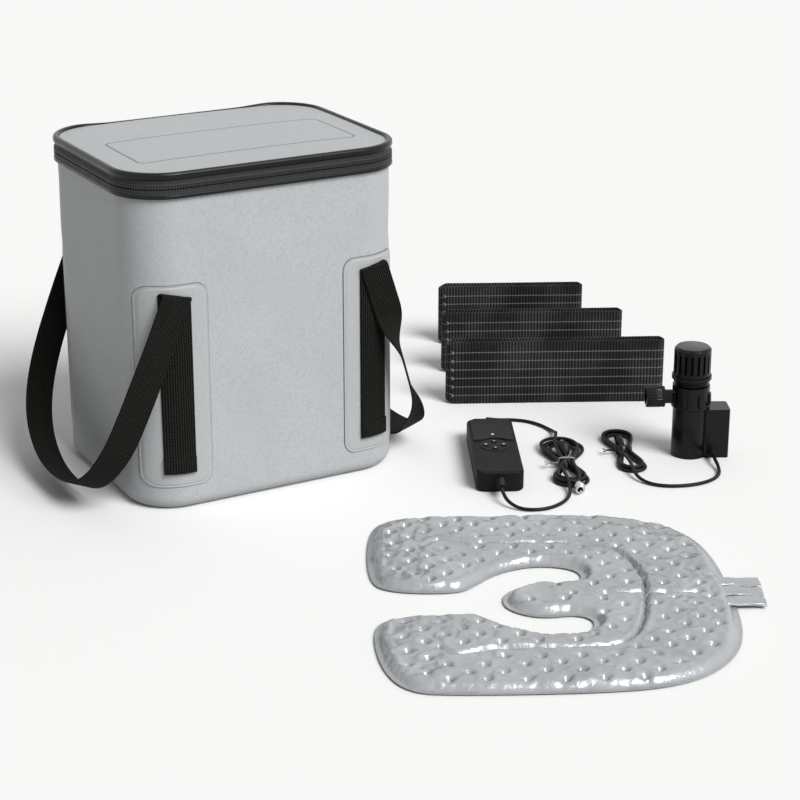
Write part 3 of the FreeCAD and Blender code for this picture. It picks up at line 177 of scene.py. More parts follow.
# A Wave texture of scale s repeats every pi / 10 / s.
WAVE = math.pi / 10


def outline(half_x, half_y, corner, travel):
    """Points and outward normals of a rounded rectangle, at distances travelled anticlockwise
    from the middle of its right side: each quarter is half a side, a quarter turn, half a side."""
    arc = corner * math.pi / 2
    quarter = half_x + half_y - 2 * corner + arc
    turn, along = np.divmod(np.mod(travel, 4 * quarter), quarter)
    even = np.mod(turn, 2) == 0
    out = np.where(even, half_x, half_y)
    side = np.where(even, half_y, half_x) - corner
    swing = np.clip((along - side) / corner, 0, math.pi / 2)
    ahead = np.minimum(along, side) + corner * np.sin(swing)
    away = out - corner + corner * np.cos(swing) - np.maximum(along - side - arc, 0)
    start = turn * math.pi / 2
    points = np.stack([away * np.cos(start) - ahead * np.sin(start),
                       away * np.sin(start) + ahead * np.cos(start)], axis=-1)
    normals = np.stack([np.cos(start + swing), np.sin(start + swing)], axis=-1)
    return points, normals


def on_wall(travel, height, offset=0):
    """Points of the bucket's wall at a travelled distance and height, moved out by an offset."""
    points, normals = outline(HALF_X, HALF_Y, CORNER, travel)
    flat = points + normals * np.asarray(offset)[..., None]
    height = np.broadcast_to(height, flat.shape[:-1])
    return np.concatenate([flat, height[..., None]], axis=-1)


def smooth_step(low, high, value):
    """Nought below low, one above high, and a smooth rise between."""
    share = np.clip((value - low) / (high - low), 0, 1)
    return share * share * (3 - 2 * share)


def quads(rows, columns, round_columns=False):
    """Corner numbers of a grid's quads, the points being kept row by row. If asked, each row's
    end is joined round to its start."""
    row = np.arange(rows - 1)[:, None] * columns
    column = np.arange(columns if round_columns else columns - 1)[None, :]
    next_row, next_column = row + columns, (column + 1) % columns
    corners = [row + column, row + next_column, next_row + next_column, next_row + column]
    return np.stack(corners, axis=-1).reshape(-1, 4)


def new_piece(name, points, faces, material, uv=None, crease=40, inward=False):
    """A mesh from points in millimetres: doubles merged, faces turned out, creased past an angle."""
    mesh = bpy.data.meshes.new(name)
    mesh.from_pydata((np.asarray(points).reshape(-1, 3) * PER_MM).tolist(), [],
                     faces.tolist() if isinstance(faces, np.ndarray) else faces)
    if uv is not None:
        corner_points = np.zeros(len(mesh.loops), int)
        mesh.loops.foreach_get("vertex_index", corner_points)
        layer = mesh.uv_layers.new(name="along")
        layer.data.foreach_set("uv", (uv.reshape(-1, 2)[corner_points] * PER_MM).ravel())
    work = bmesh.new()
    work.from_mesh(mesh)
    bmesh.ops.remove_doubles(work, verts=work.verts, dist=0.002 * PER_MM)
    bmesh.ops.recalc_face_normals(work, faces=work.faces)
    if inward:
        bmesh.ops.reverse_faces(work, faces=work.faces)
    work.to_mesh(mesh)
    work.free()
    mesh.polygons.foreach_set("use_smooth", [True] * len(mesh.polygons))
    mesh.set_sharp_from_angle(angle=math.radians(crease))
    mesh.materials.append(material)
    made = bpy.data.objects.new(name, mesh)
    scene.collection.objects.link(made)
    return made


def thicken(made, wall):
    """Gives a one-sided skin its wall, on the side that its faces turn away from."""
    solid = made.modifiers.new("wall", "SOLIDIFY")
    solid.thickness = wall * PER_MM
    solid.offset = -1


def new_material(name, colour, roughness, **sockets):
    """A material of one shader with these settings; returns it, its tree, its shader and the
    places that a pattern can follow."""
    made = bpy.data.materials.new(name)
    made.use_nodes = True
    shader = made.node_tree.nodes["Principled BSDF"]
    shader.inputs["Base Color"].default_value = linear(colour)
    shader.inputs["Roughness"].default_value = roughness
    for socket, value in sockets.items():
        shader.inputs[socket.replace("_", " ")].default_value = value
    return made, made.node_tree, shader, node(made.node_tree, "ShaderNodeTexCoord").outputs


def feed(shader, **sources):
    """Links a material's patterns to its shader's sockets."""
    for socket, source in sources.items():
        shader.id_data.links.new(source, shader.inputs[socket.replace("_", " ")])


# The cloth's waves are full from SLACK_LOW up to SLACK_HIGH, and gone at SLACK_END, where it is
# pulled tight to the zip. The puckers under the zip are this deep, and fade over this height.
SLACK_LOW, SLACK_HIGH, SLACK_END = 60, 225, 262
PUCKER_DEEP, PUCKER_FADE = 0.16, 9


def slack(travel, height):
    """How far the cloth stands off its foam: four slow waves of unlike lengths, stilled at the
    base and under the patches, and short puckers that die away below the zip."""
    turn = 2 * math.pi * travel / ROUND_TRIP
    rise = 2 * math.pi * height / WALL_TOP
    lift = (0.30 * np.cos(3 * turn + 1.1 * rise + 0.6) + 0.26 * np.cos(5 * turn - 1.7 * rise + 2.1)
            + 0.16 * np.cos(9 * turn + 2.3 * rise + 4.0) + 0.10 * np.cos(14 * turn - 3.1 * rise))
    still = smooth_step(FOOT_ROUND, SLACK_LOW, height) * (
        1 - smooth_step(SLACK_HIGH, SLACK_END, height))
    pucker = PUCKER_DEEP * np.cos(62 * turn + 2 * np.cos(5 * turn)) * np.exp(
        (height - WALL_TOP) / PUCKER_FADE)
    return lift * still * (1 - under_patch(travel, height)) + pucker


PATCH_FOOT, PATCH_TOP = 20, 191
PATCH_NEAR, PATCH_FAR = 60, 116
PATCH_FADE = 12
STRAP_PLACE = 88


def wall_run(across):
    """Distance along the wall from a face's middle to the point that lies across by that much."""
    past = np.clip((across - (HALF_X - CORNER)) / CORNER, 0, 1)
    return np.minimum(across, HALF_X - CORNER) + CORNER * np.arcsin(past)


def under_patch(travel, height):
    """One where a strap's patch is welded on and nought a little outside it."""
    from_front = np.abs(np.mod(travel - FRONT_MIDDLE + ROUND_TRIP / 2, ROUND_TRIP) - ROUND_TRIP / 2)
    run = np.minimum(from_front, ROUND_TRIP / 2 - from_front)
    low, high = wall_run(PATCH_NEAR), wall_run(PATCH_FAR)
    across = smooth_step(low - PATCH_FADE, low, run) * (
        1 - smooth_step(high, high + PATCH_FADE, run))
    return across * smooth_step(PATCH_FOOT - PATCH_FADE, PATCH_FOOT, height) * (
        1 - smooth_step(PATCH_TOP, PATCH_TOP + PATCH_FADE, height))


# Polyester cloth with a calendered TPU coat: a soft satin skin over a fine weave, with the
# faint speckle of pigment in the coat. Its 0.5 mm threads are drawn at 1.3 mm so that they show.
WEAVE_PITCH = 1.3
FABRIC_GREY, FABRIC_LIGHT, FABRIC_SPECK = "#B9BDBF", "#C5C9CB", "#A9ADAF"
coated_cloth, tree, shader, place = new_material("calendered_tpu_cloth", FABRIC_GREY, 0.5)
cloud = node(tree, "ShaderNodeTexNoise", {"Vector": place["Object"], "Scale": 14.0, "Detail": 3.0})
speck = node(tree, "ShaderNodeTexNoise", {"Vector": place["Object"], "Scale": 620.0, "Detail": 2.0})
tone = node(tree, "ShaderNodeMix", {0: cloud.outputs["Fac"], 6: linear(FABRIC_GREY),
                                    7: linear(FABRIC_LIGHT)}, data_type="RGBA")
speckle = node(tree, "ShaderNodeMapRange", {"Value": speck.outputs["Fac"], "From Min": 0.42,
                                            "From Max": 0.7, "To Max": 0.55})
tone = node(tree, "ShaderNodeMix", {0: speckle.outputs[0], 6: tone.outputs[2], 7: linear(FABRIC_SPECK)},
            data_type="RGBA")
threads = [node(tree, "ShaderNodeTexWave", {"Vector": place["UV"], "Distortion": 0.6,
                                            "Scale": WAVE / (WEAVE_PITCH * PER_MM)},
                bands_direction=way) for way in ("X", "Y")]
weave = node(tree, "ShaderNodeMath", {0: threads[0].outputs["Fac"], 1: threads[1].outputs["Fac"]},
             operation="MULTIPLY")
relief = node(tree, "ShaderNodeMath", {0: weave.outputs[0], 1: speck.outputs["Fac"]}, operation="ADD")
bump = node(tree, "ShaderNodeBump", {"Height": relief.outputs[0], "Strength": 0.28, "Distance": 0.0002})
gloss = node(tree, "ShaderNodeMapRange", {"Value": cloud.outputs["Fac"], "To Min": 0.42, "To Max": 0.56})
feed(shader, Base_Color=tone.outputs[2], Roughness=gloss.outputs[0], Normal=bump.outputs[0])

# Rings that grow from the middle of the base out to its round foot, ...
BASE_RINGS, FOOT_RINGS, WALL_RINGS = 14, 9, 86
travel = np.arange(COLUMNS) * ROUND_TRIP / COLUMNS
ring, ring_normals = outline(HALF_X, HALF_Y, CORNER, travel)
base_shares = np.linspace(0, 1, BASE_RINGS)[:-1]
foot_angles = np.linspace(0, math.pi / 2, FOOT_RINGS)
wall_heights = np.linspace(FOOT_ROUND, WALL_TOP, WALL_RINGS)[1:]
foot_ring = ring - ring_normals * FOOT_ROUND
base_part = foot_ring[None] * base_shares[:, None, None]
base_part = np.concatenate([base_part, np.zeros(base_part.shape[:2] + (1,))], axis=-1)
# ... round the foot by a quarter turn, and up the wall with its slack.
foot_out = FOOT_ROUND * np.sin(foot_angles)
foot_up = FOOT_ROUND * (1 - np.cos(foot_angles))
foot_part = on_wall(travel[None], foot_up[:, None], (foot_out - FOOT_ROUND)[:, None]
                    + np.zeros(COLUMNS))
wall_part = on_wall(travel[None], wall_heights[:, None],
                    slack(travel[None], wall_heights[:, None]))
skin_points = np.concatenate([base_part, foot_part, wall_part])
rows = len(skin_points)
# The weave's map gives the base this length from its middle to its foot.
BASE_RUN = 80
skin_run = np.concatenate([base_shares * BASE_RUN, BASE_RUN + FOOT_ROUND * foot_angles,
                           BASE_RUN + FOOT_ROUND * (math.pi / 2 - 1) + wall_heights])
closed_travel = np.append(travel, ROUND_TRIP)
skin_uv = np.stack(np.broadcast_arrays(closed_travel[None], skin_run[:, None]), axis=-1)
skin_points = np.concatenate([skin_points, skin_points[:, :1]], axis=1)
skin = new_piece("bucket_skin", skin_points, quads(rows, COLUMNS + 1), coated_cloth, uv=skin_uv)
thicken(skin, SKIN_WALL)
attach(skin, "bucket")
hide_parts("outer_shell", "base_panel")

# ---------------------------------------------------------------- zip
# A sewn strip of woven polyester tape round the bucket and one round the lid, with moulded acetal
# teeth between them. A smooth folded binding covers the lower strip's edge.

OPEN_BACK, TEETH_END = 77.5, 2
TOOTH_PITCH = 2.2
TOOTH_WIDE, TOOTH_LEAN, TOOTH_PROUD = 1.15, 0.8, 0.75
# A tooth's outer face, as shares of the width and height of the face that is on its strip.
TIP_WIDE, TIP_TALL = 0.72, 0.86
TEETH_BACKING, TOOTH_SUNK = 2.05, 0.3
BAND_STEP = 3.0


def rounded_section(low_out, high_out, foot, top, corner, steps=4):
    """A rounded rectangle of offset and height, as points from its lower outer corner round."""
    swing = np.linspace(0, math.pi / 2, steps)
    centres = ((high_out - corner, foot + corner), (high_out - corner, top - corner),
               (low_out + corner, top - corner), (low_out + corner, foot + corner))
    turns = [swing - math.pi / 2 + quarter * math.pi / 2 for quarter in range(4)]
    return np.concatenate([np.stack([out + corner * np.cos(turn), up + corner * np.sin(turn)], -1)
                           for (out, up), turn in zip(centres, turns)])


def band(name, section, material, start=0.0, end=ROUND_TRIP, squash=lambda run: 1 + 0 * run):
    """A closed section of offset and height, carried round the bucket's outline from one
    travelled distance to another: closed where they meet, and capped where they don't. Its
    height over its foot is multiplied by squash, a function of the distance."""
    whole = end - start >= ROUND_TRIP - 0.01
    count = max(int(round((end - start) / BAND_STEP)), 2)
    run = np.linspace(start, end, count + 1)
    foot = section[:, 1].min()
    ring = on_wall(run[:, None], foot + (section[None, :, 1] - foot) * squash(run)[:, None],
                   section[None, :, 0] + np.zeros((count + 1, 1)))
    width = len(section)
    faces = quads(count + 1, width, round_columns=True).tolist()
    if not whole:
        faces += [list(range(width)), [count * width + at for at in range(width)]]
    edge = np.linalg.norm(np.roll(section, -1, axis=0) - section, axis=1)
    girth = np.append(0, np.cumsum(edge))[:-1]
    uv = np.stack(np.broadcast_arrays(run[:, None], girth[None]), axis=-1)
    return new_piece(name, ring, faces, material, uv=uv, crease=50)


def teeth(name, foot, top, lean, shift, material):
    """Slanted bars side by side along the zip: each stands on its strip and narrows outward."""
    first = BACK_MIDDLE + OPEN_BACK + TEETH_END
    last = BACK_MIDDLE + ROUND_TRIP - OPEN_BACK - TEETH_END
    places = np.arange(first + shift, last, TOOTH_PITCH)
    half = TOOTH_WIDE / 2
    run = np.array([-half, half, half + lean, lean - half])
    rise = np.array([foot, foot, top, top])
    run_out = run.mean() + (run - run.mean()) * TIP_WIDE
    rise_out = rise.mean() + (rise - rise.mean()) * TIP_TALL
    runs = places[:, None] + np.concatenate([run, run_out])[None]
    rises = np.broadcast_to(np.concatenate([rise, rise_out]), runs.shape)
    outs = np.broadcast_to(
        np.repeat([TEETH_BACKING - TOOTH_SUNK, TEETH_BACKING + TOOTH_PROUD], 4), runs.shape)
    corners = np.array([(0, 1, 2, 3), (4, 5, 6, 7), (0, 1, 5, 4), (1, 2, 6, 5), (2, 3, 7, 6),
                        (3, 0, 4, 7)])
    faces = (np.arange(len(places))[:, None, None] * 8 + corners[None]).reshape(-1, 4)
    return new_piece(name, on_wall(runs, rises, outs), faces, material, crease=30)


# Woven polyester zip tape: a matt black twill whose raised threads are painted a lighter grey
# as a satin highlight.
TWILL_PITCH = 1.1
zip_tape, tree, shader, place = new_material("woven_polyester_zip_tape", "#242525", 0.55,
                                             Specular_IOR_Level=0.22)
twill = node(tree, "ShaderNodeTexWave", {"Vector": place["UV"], "Distortion": 0.4,
                                         "Scale": WAVE / (TWILL_PITCH * PER_MM)},
             bands_direction="DIAGONAL")
fuzz = node(tree, "ShaderNodeTexNoise", {"Vector": place["Object"], "Scale": 900.0})
thread = node(tree, "ShaderNodeMath", {0: twill.outputs["Fac"], 1: fuzz.outputs["Fac"]},
              operation="MULTIPLY")
# Painted highlight: the raised threads are coloured lighter grey than the hollows between them.
tone = node(tree, "ShaderNodeMix", {0: thread.outputs[0], 6: linear("#1A1B1B"), 7: linear("#5A5B5B")},
            data_type="RGBA")
bump = node(tree, "ShaderNodeBump", {"Height": thread.outputs[0], "Strength": 0.5, "Distance": 0.0004})
feed(shader, Base_Color=tone.outputs[2], Normal=bump.outputs[0])

# Calendered vinyl binding: smooth satin black, a little uneven where it is pulled round.
vinyl, tree, shader, place = new_material("calendered_vinyl_binding", "#090909", 0.3,
                                          Specular_IOR_Level=0.28)
pull = node(tree, "ShaderNodeTexNoise", {"Vector": place["Object"], "Scale": 55.0, "Detail": 2.0})
grain = node(tree, "ShaderNodeTexNoise", {"Vector": place["Object"], "Scale": 1400.0})
height = node(tree, "ShaderNodeMath", {0: grain.outputs["Fac"], 1: 0.25, 2: pull.outputs["Fac"]},
              operation="MULTIPLY_ADD")
bump = node(tree, "ShaderNodeBump", {"Height": height.outputs[0], "Strength": 0.3, "Distance": 0.0006})
gloss = node(tree, "ShaderNodeMapRange", {"Value": pull.outputs["Fac"], "To Min": 0.2, "To Max": 0.36})
feed(shader, Roughness=gloss.outputs[0], Normal=bump.outputs[0])

# Moulded acetal teeth: hard dark grey plastic with a waxy shine.
acetal, tree, shader, place = new_material("moulded_acetal_teeth", "#2A2B2C", 0.34)
wear = node(tree, "ShaderNodeTexNoise", {"Vector": place["Object"], "Scale": 240.0})
tone = node(tree, "ShaderNodeMix", {0: wear.outputs["Fac"], 6: linear("#17181A"), 7: linear("#4A4C4D")},
            data_type="RGBA")
feed(shader, Base_Color=tone.outputs[2])

LOWER_FOOT, TAPE_FOOT, BINDING_TOP, LOWER_TOP = 260.3, 262.6, 263.4, 265.3
UPPER_FOOT, UPPER_TOP = 270.7, 275.6
# The heights where the two strips stop short of one another, and where the teeth end over them.
STRIP_EDGES, TOOTH_EDGES = (267.5, 268.5), (267.65, 268.35)
SEWN_IN, STRIP_IN, TAPE_OUT, BINDING_OUT = -0.2, -1.9, 2.6, 3.1
around = (BACK_MIDDLE + OPEN_BACK, BACK_MIDDLE + ROUND_TRIP - OPEN_BACK)

lower_tape = band("zip_tape_of_bucket", rounded_section(SEWN_IN, TAPE_OUT, TAPE_FOOT, LOWER_TOP,
                                                        corner=0.5), zip_tape)
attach(lower_tape, "bucket")
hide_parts("zipper_tape_lower")
lower_binding = band("folded_binding_below_zip", rounded_section(SEWN_IN, BINDING_OUT, LOWER_FOOT,
                                                                 BINDING_TOP, corner=0.8), vinyl)
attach(lower_binding, "bucket")
lower_strip = band("teeth_strip_of_bucket", rounded_section(STRIP_IN, TEETH_BACKING, LOWER_TOP - 0.3,
                                                            STRIP_EDGES[0], corner=0.3), zip_tape, *around)
lower_teeth = teeth("teeth_of_bucket", LOWER_TOP - 0.1, TOOTH_EDGES[0], TOOTH_LEAN, 0, acetal)
for made in (lower_strip, lower_teeth):
    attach(made, "bucket")
    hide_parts("zipper_chain_lower")

# The lid's tape is folded thick beside the teeth and thins above, which leaves a dark recess
# under the piping.
folded = np.array([(SEWN_IN, UPPER_FOOT - 0.1), (2.2, UPPER_FOOT - 0.1),
                   (TAPE_OUT, UPPER_FOOT + 0.2), (TAPE_OUT, UPPER_FOOT + 1.0),
                   (2.2, UPPER_FOOT + 1.4), (1.2, UPPER_FOOT + 2.0), (1.0, UPPER_TOP),
                   (SEWN_IN, UPPER_TOP)])
upper_tape = band("zip_tape_of_lid", folded, zip_tape)
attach(upper_tape, "lid")
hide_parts("zipper_tape_upper")
upper_strip = band("teeth_strip_of_lid", rounded_section(STRIP_IN, TEETH_BACKING, STRIP_EDGES[1],
                                                         UPPER_FOOT + 0.2, corner=0.3), zip_tape, *around)
upper_teeth = teeth("teeth_of_lid", TOOTH_EDGES[1], UPPER_FOOT + 0.1, -TOOTH_LEAN,
                    TOOTH_PITCH / 2, acetal)
for made in (upper_strip, upper_teeth):
    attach(made, "lid")
    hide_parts("zipper_chain_upper")

# The hinge is a strip of the same tape along the straight back edge, sewn to the bucket and the
# lid, which it bends between.
HINGE_HALF, HINGE_OUT, HINGE_SWELL = 77.4, (0.5, 2.0), 0.5
HINGE_FOOT, HINGE_TOP, HINGE_SEWN = 264.9, 271.1, 0.8
rise = np.linspace(HINGE_FOOT, HINGE_TOP, 11)
swell = HINGE_OUT[1] + HINGE_SWELL * np.sin(np.linspace(0, math.pi, 11))
strip = np.concatenate([np.stack([swell, rise], -1),
                        np.stack([HINGE_OUT[0] + 0 * rise, rise[::-1]], -1)])
hinge_tape = band("hinge_tape", strip, zip_tape, BACK_MIDDLE - HINGE_HALF, BACK_MIDDLE + HINGE_HALF)
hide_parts("hinge_strip")
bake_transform(hinge_tape)

# ---------------------------------------------------------------- slider and pull
# A cast zinc slider that rides on both rows of teeth, with a pull tab hung from its cross pin.
# Both are plated black nickel, scuffed by use.

# Past this angle between two faces an edge is sharp, and is rounded.
SHARP = math.radians(35)


def softened(name, width, material, body):
    """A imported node's shape, merged, with flat faces joined and its edges rounded by a width."""
    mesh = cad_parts[name].data.copy()
    mesh.name = name + "_rounded"
    work = bmesh.new()
    work.from_mesh(mesh)
    bmesh.ops.remove_doubles(work, verts=work.verts, dist=0.005 * PER_MM)
    bmesh.ops.dissolve_limit(work, angle_limit=math.radians(1), verts=work.verts,
                             edges=work.edges)
    work.to_mesh(mesh)
    work.free()
    mesh.materials.clear()
    mesh.materials.append(material)
    mesh.polygons.foreach_set("material_index", [0] * len(mesh.polygons))
    mesh.polygons.foreach_set("use_smooth", [True] * len(mesh.polygons))
    mesh.set_sharp_from_angle(angle=SHARP)
    made = bpy.data.objects.new(mesh.name, mesh)
    scene.collection.objects.link(made)
    bevel = made.modifiers.new("rounded_edges", "BEVEL")
    bevel.width = width * PER_MM
    bevel.segments = 2
    bevel.limit_method = "ANGLE"
    bevel.angle_limit = SHARP
    bevel.use_clamp_overlap = True
    bevel.harden_normals = True
    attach(made, body)
    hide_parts(name)
    return made


# Black nickel plate on cast zinc: dark mirror, scuffed to a paler grey here and there.
nickel, tree, shader, place = new_material("black_nickel_plate", "#4A4B4D", 0.3, Metallic=1.0)
scuff = node(tree, "ShaderNodeTexNoise", {"Vector": place["Object"], "Scale": 350.0, "Detail": 4.0})
tone = node(tree, "ShaderNodeMix", {0: scuff.outputs["Fac"], 6: linear("#3B3C3E"), 7: linear("#77787A")},
            data_type="RGBA")
gloss = node(tree, "ShaderNodeMapRange", {"Value": scuff.outputs["Fac"], "To Min": 0.18, "To Max": 0.45})
feed(shader, Base_Color=tone.outputs[2], Roughness=gloss.outputs[0])
softened("zip_slider", 0.25, nickel, "slider")
softened("zip_pull", 0.4, nickel, "pull")

# ---------------------------------------------------------------- lid
# A foam board wrapped in the same coated cloth, so its top is a little crowned and falls to its
# edge, with a hollow vinyl piping sewn round it. A thin grey frame is printed on top.

LID_FOOT, LID_EDGE = 270.7, 279.5
LID_CROWN, CROWN_FLATNESS = 2.2, 3.2
LID_SHOULDER = 1.6
EDGE_WAVE, CORNER_DROP = 0.12, 0.25
FRAME_LOW, FRAME_HIGH = (-96, -56), (96, 20)
FRAME_CORNER, FRAME_LINE = 7.0, 1.3


def rounded_frame(tree, source, low, high, corner, line):
    """A factor that is one on a rounded rectangle's outline and nought a line's width from it:
    the distance is that of a box with its corners cut by a circle, on X and Y."""
    middle = [(a + b) / 2 * PER_MM for a, b in zip(low, high)] + [0]
    half = [((b - a) / 2 - corner) * PER_MM for a, b in zip(low, high)] + [10]
    away = node(tree, "ShaderNodeVectorMath", {0: source, 1: middle}, operation="SUBTRACT")
    away = node(tree, "ShaderNodeVectorMath", {0: away.outputs[0]}, operation="ABSOLUTE")
    past = node(tree, "ShaderNodeVectorMath", {0: away.outputs[0], 1: half}, operation="SUBTRACT")
    outside = node(tree, "ShaderNodeVectorMath", {0: past.outputs[0], 1: (0, 0, 0)}, operation="MAXIMUM")
    reach = node(tree, "ShaderNodeVectorMath", {0: outside.outputs[0]}, operation="LENGTH")
    parts = node(tree, "ShaderNodeSeparateXYZ", {0: past.outputs[0]})
    deeper = node(tree, "ShaderNodeMath", {0: parts.outputs[0], 1: parts.outputs[1]}, operation="MAXIMUM")
    inside = node(tree, "ShaderNodeMath", {0: deeper.outputs[0], 1: 0.0}, operation="MINIMUM")
    far = node(tree, "ShaderNodeMath", {0: reach.outputs["Value"], 1: inside.outputs[0]}, operation="ADD")
    off = node(tree, "ShaderNodeMath", {0: far.outputs[0], 1: corner * PER_MM}, operation="SUBTRACT")
    off = node(tree, "ShaderNodeMath", {0: off.outputs[0]}, operation="ABSOLUTE")
    return node(tree, "ShaderNodeMapRange", {"Value": off.outputs[0], "To Min": 1.0, "To Max": 0.0,
                                             "From Min": line * 0.3 * PER_MM,
                                             "From Max": line * 0.8 * PER_MM}).outputs[0]


lid_cloth = coated_cloth.copy()
lid_cloth.name = "calendered_tpu_cloth_printed"
tree = lid_cloth.node_tree
shader = tree.nodes["Principled BSDF"]
place = node(tree, "ShaderNodeTexCoord").outputs
printed = rounded_frame(tree, place["Object"], FRAME_LOW, FRAME_HIGH, FRAME_CORNER, FRAME_LINE)
cloth_tone = shader.inputs["Base Color"].links[0].from_socket
# Painted shade: the lid's top cloth is multiplied a little darker than the wall's cloth.
lid_top_painted_shade = node(tree, "ShaderNodeMix", {0: 1.0, 6: cloth_tone, 7: linear("#F2F1F1")}, data_type="RGBA",
            blend_type="MULTIPLY")
tone = node(tree, "ShaderNodeMix", {0: printed, 6: lid_top_painted_shade.outputs[2], 7: linear("#505355")}, data_type="RGBA")
feed(shader, Base_Color=tone.outputs[2])


def lid_height(share, travel):
    """Height of the lid's top at a share of the way from its middle to its edge: a flat crown,
    and toward the edge a slow wave and a drop at the corners, which are nought at the middle."""
    turn = 2 * math.pi * travel / ROUND_TRIP
    uneven = EDGE_WAVE * np.cos(3 * turn + 5 * share) - CORNER_DROP * (1 - np.cos(4 * turn))
    return LID_EDGE + LID_CROWN * (1 - share ** CROWN_FLATNESS) + uneven * share ** 4


lid_run = np.arange(COLUMNS + 1) * ROUND_TRIP / COLUMNS
lid_ring, lid_normals = outline(HALF_X, HALF_Y, CORNER, lid_run)
lid_shares = np.linspace(0, 1, 40) ** 0.8
shoulder = lid_ring - lid_normals * LID_SHOULDER
top_flat = shoulder[None] * lid_shares[:, None, None]
top_part = np.concatenate([top_flat, lid_height(lid_shares[:, None], lid_run[None])[..., None]], -1)
swing = np.linspace(0, math.pi / 2, 6)[1:]
edge_height = lid_height(np.ones(1), lid_run)
round_part = on_wall(lid_run[None], edge_height[None] - LID_SHOULDER * (1 - np.cos(swing))[:, None],
                     (LID_SHOULDER * np.sin(swing) - LID_SHOULDER)[:, None] + 0 * lid_run)
side_heights = np.array([276.0, 273.0, LID_FOOT])
side_part = on_wall(lid_run[None], side_heights[:, None] + 0 * lid_run[None],
                    np.zeros((3, len(lid_run))))
lid_points = np.concatenate([top_part, round_part, side_part])
lid_uv = lid_points[..., :2].copy()
lid_top = new_piece("lid_top", lid_points, quads(len(lid_points), COLUMNS + 1), lid_cloth, uv=lid_uv)
thicken(lid_top, SKIN_WALL)
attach(lid_top, "lid")
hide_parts("lid_cover")

PIPING_FOOT, PIPING_TOP, PIPING_IN, PIPING_OUT = 275.1, 281.2, -2.4, 3.1
# Up to the first distance from the back's middle the piping is lower by this share, and from the
# second on it has its full height.
BACK_LOW, BACK_FULL, LOWER_BY = 55, 95, 0.25


def piping_squash(run):
    """The piping's height at each distance travelled, as a share: it stands over the lid's edge,
    but not along the back, where the lid bulges against it."""
    from_back = np.abs((run - BACK_MIDDLE + ROUND_TRIP / 2) % ROUND_TRIP - ROUND_TRIP / 2)
    return 1 - LOWER_BY * (1 - smooth_step(BACK_LOW, BACK_FULL, from_back))


piping = band("sewn_piping", rounded_section(PIPING_IN, PIPING_OUT, PIPING_FOOT, PIPING_TOP, corner=2.4,
                                             steps=7), vinyl, squash=piping_squash)
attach(piping, "lid")
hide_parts("lid_piping")

# ---------------------------------------------------------------- strap patches
# Four rounded patches of the same cloth, without its coarse grain, welded on the wall under the
# straps. The weld leaves a narrow pressed groove just inside each patch's edge, and a thin dark
# line of painted shade is drawn at the edge itself.

PATCH_ROUND = 11
PATCH_HALF = (PATCH_FAR - PATCH_NEAR) / 2
PATCH_WALL, PATCH_SUNK = 1.0, 0.3
PATCH_GROOVE, GROOVE_DEEP, GROOVE_WIDE = 2.0, 0.55, 0.6
EDGE_SHADE_INSET, EDGE_SHADE_WIDTH = 0.4, 0.75


def patch_grid():
    """Across and height of a patch's grid: rows close together near its ends, each as wide as the
    rounded rectangle is there, and columns close together near its sides; and each point's
    distance in from the patch's edge."""
    near = np.array([0, 0.5, 1.0, 1.5, 2.0, 2.5, 3.2, 4.5, 7, PATCH_ROUND])
    length = PATCH_TOP - PATCH_FOOT
    rows = np.unique(np.concatenate([near, np.linspace(PATCH_ROUND, length - PATCH_ROUND, 40),
                                     length - near]))
    bend = np.clip(PATCH_ROUND - np.minimum(rows, length - rows), 0, PATCH_ROUND)
    half = PATCH_HALF - PATCH_ROUND + np.sqrt(PATCH_ROUND ** 2 - bend ** 2)
    side = np.concatenate([near[:-1], np.linspace(PATCH_ROUND, PATCH_HALF, 8)]) / PATCH_HALF - 1
    columns = np.concatenate([side, -side[::-1][1:]])
    across = half[:, None] * columns[None]
    height = PATCH_FOOT + rows[:, None] + 0 * across
    out_x = np.abs(across) - (PATCH_HALF - PATCH_ROUND)
    out_z = np.abs(rows - length / 2)[:, None] - (length / 2 - PATCH_ROUND) + 0 * across
    far = np.hypot(np.maximum(out_x, 0), np.maximum(out_z, 0)) + np.minimum(
        np.maximum(out_x, out_z), 0) - PATCH_ROUND
    return across, height, np.maximum(-far, 0)


def wall_way(across, front):
    """The travelled distance of the wall's point that lies across by that much, front or back."""
    run = np.sign(across) * wall_run(np.abs(across))
    return FRONT_MIDDLE + run if front else BACK_MIDDLE - run


def two_sided(outer, inner):
    """Points and faces of a closed sheet whose outer and inner grids meet at their edges."""
    rows, columns = outer.shape[:2]
    front = quads(rows, columns)
    points = np.concatenate([outer.reshape(-1, 3), inner.reshape(-1, 3)])
    return points, np.concatenate([front, front[:, ::-1] + rows * columns])


patch_cloth = coated_cloth.copy()
patch_cloth.name = "calendered_tpu_cloth_smooth"
tree = patch_cloth.node_tree
shader = tree.nodes["Principled BSDF"]
tree.nodes["Bump"].inputs["Strength"].default_value = 0.12
tree.nodes["Mix"].inputs[6].default_value = linear("#B6BABB")
tree.nodes["Mix"].inputs[7].default_value = linear("#C2C5C6")
place = node(tree, "ShaderNodeTexCoord").outputs
# Painted shade: a thin dark line at the weld, just inside the patch's edge.
edge_painted_shade = rounded_frame(tree, place["UV"],
                          (EDGE_SHADE_INSET - PATCH_HALF, PATCH_FOOT + EDGE_SHADE_INSET),
                          (PATCH_HALF - EDGE_SHADE_INSET, PATCH_TOP - EDGE_SHADE_INSET),
                          PATCH_ROUND - EDGE_SHADE_INSET, EDGE_SHADE_WIDTH)
cloth_tone = shader.inputs["Base Color"].links[0].from_socket
tone = node(tree, "ShaderNodeMix", {0: edge_painted_shade, 6: cloth_tone, 7: linear("#5F6365")}, data_type="RGBA")
feed(shader, Base_Color=tone.outputs[2])

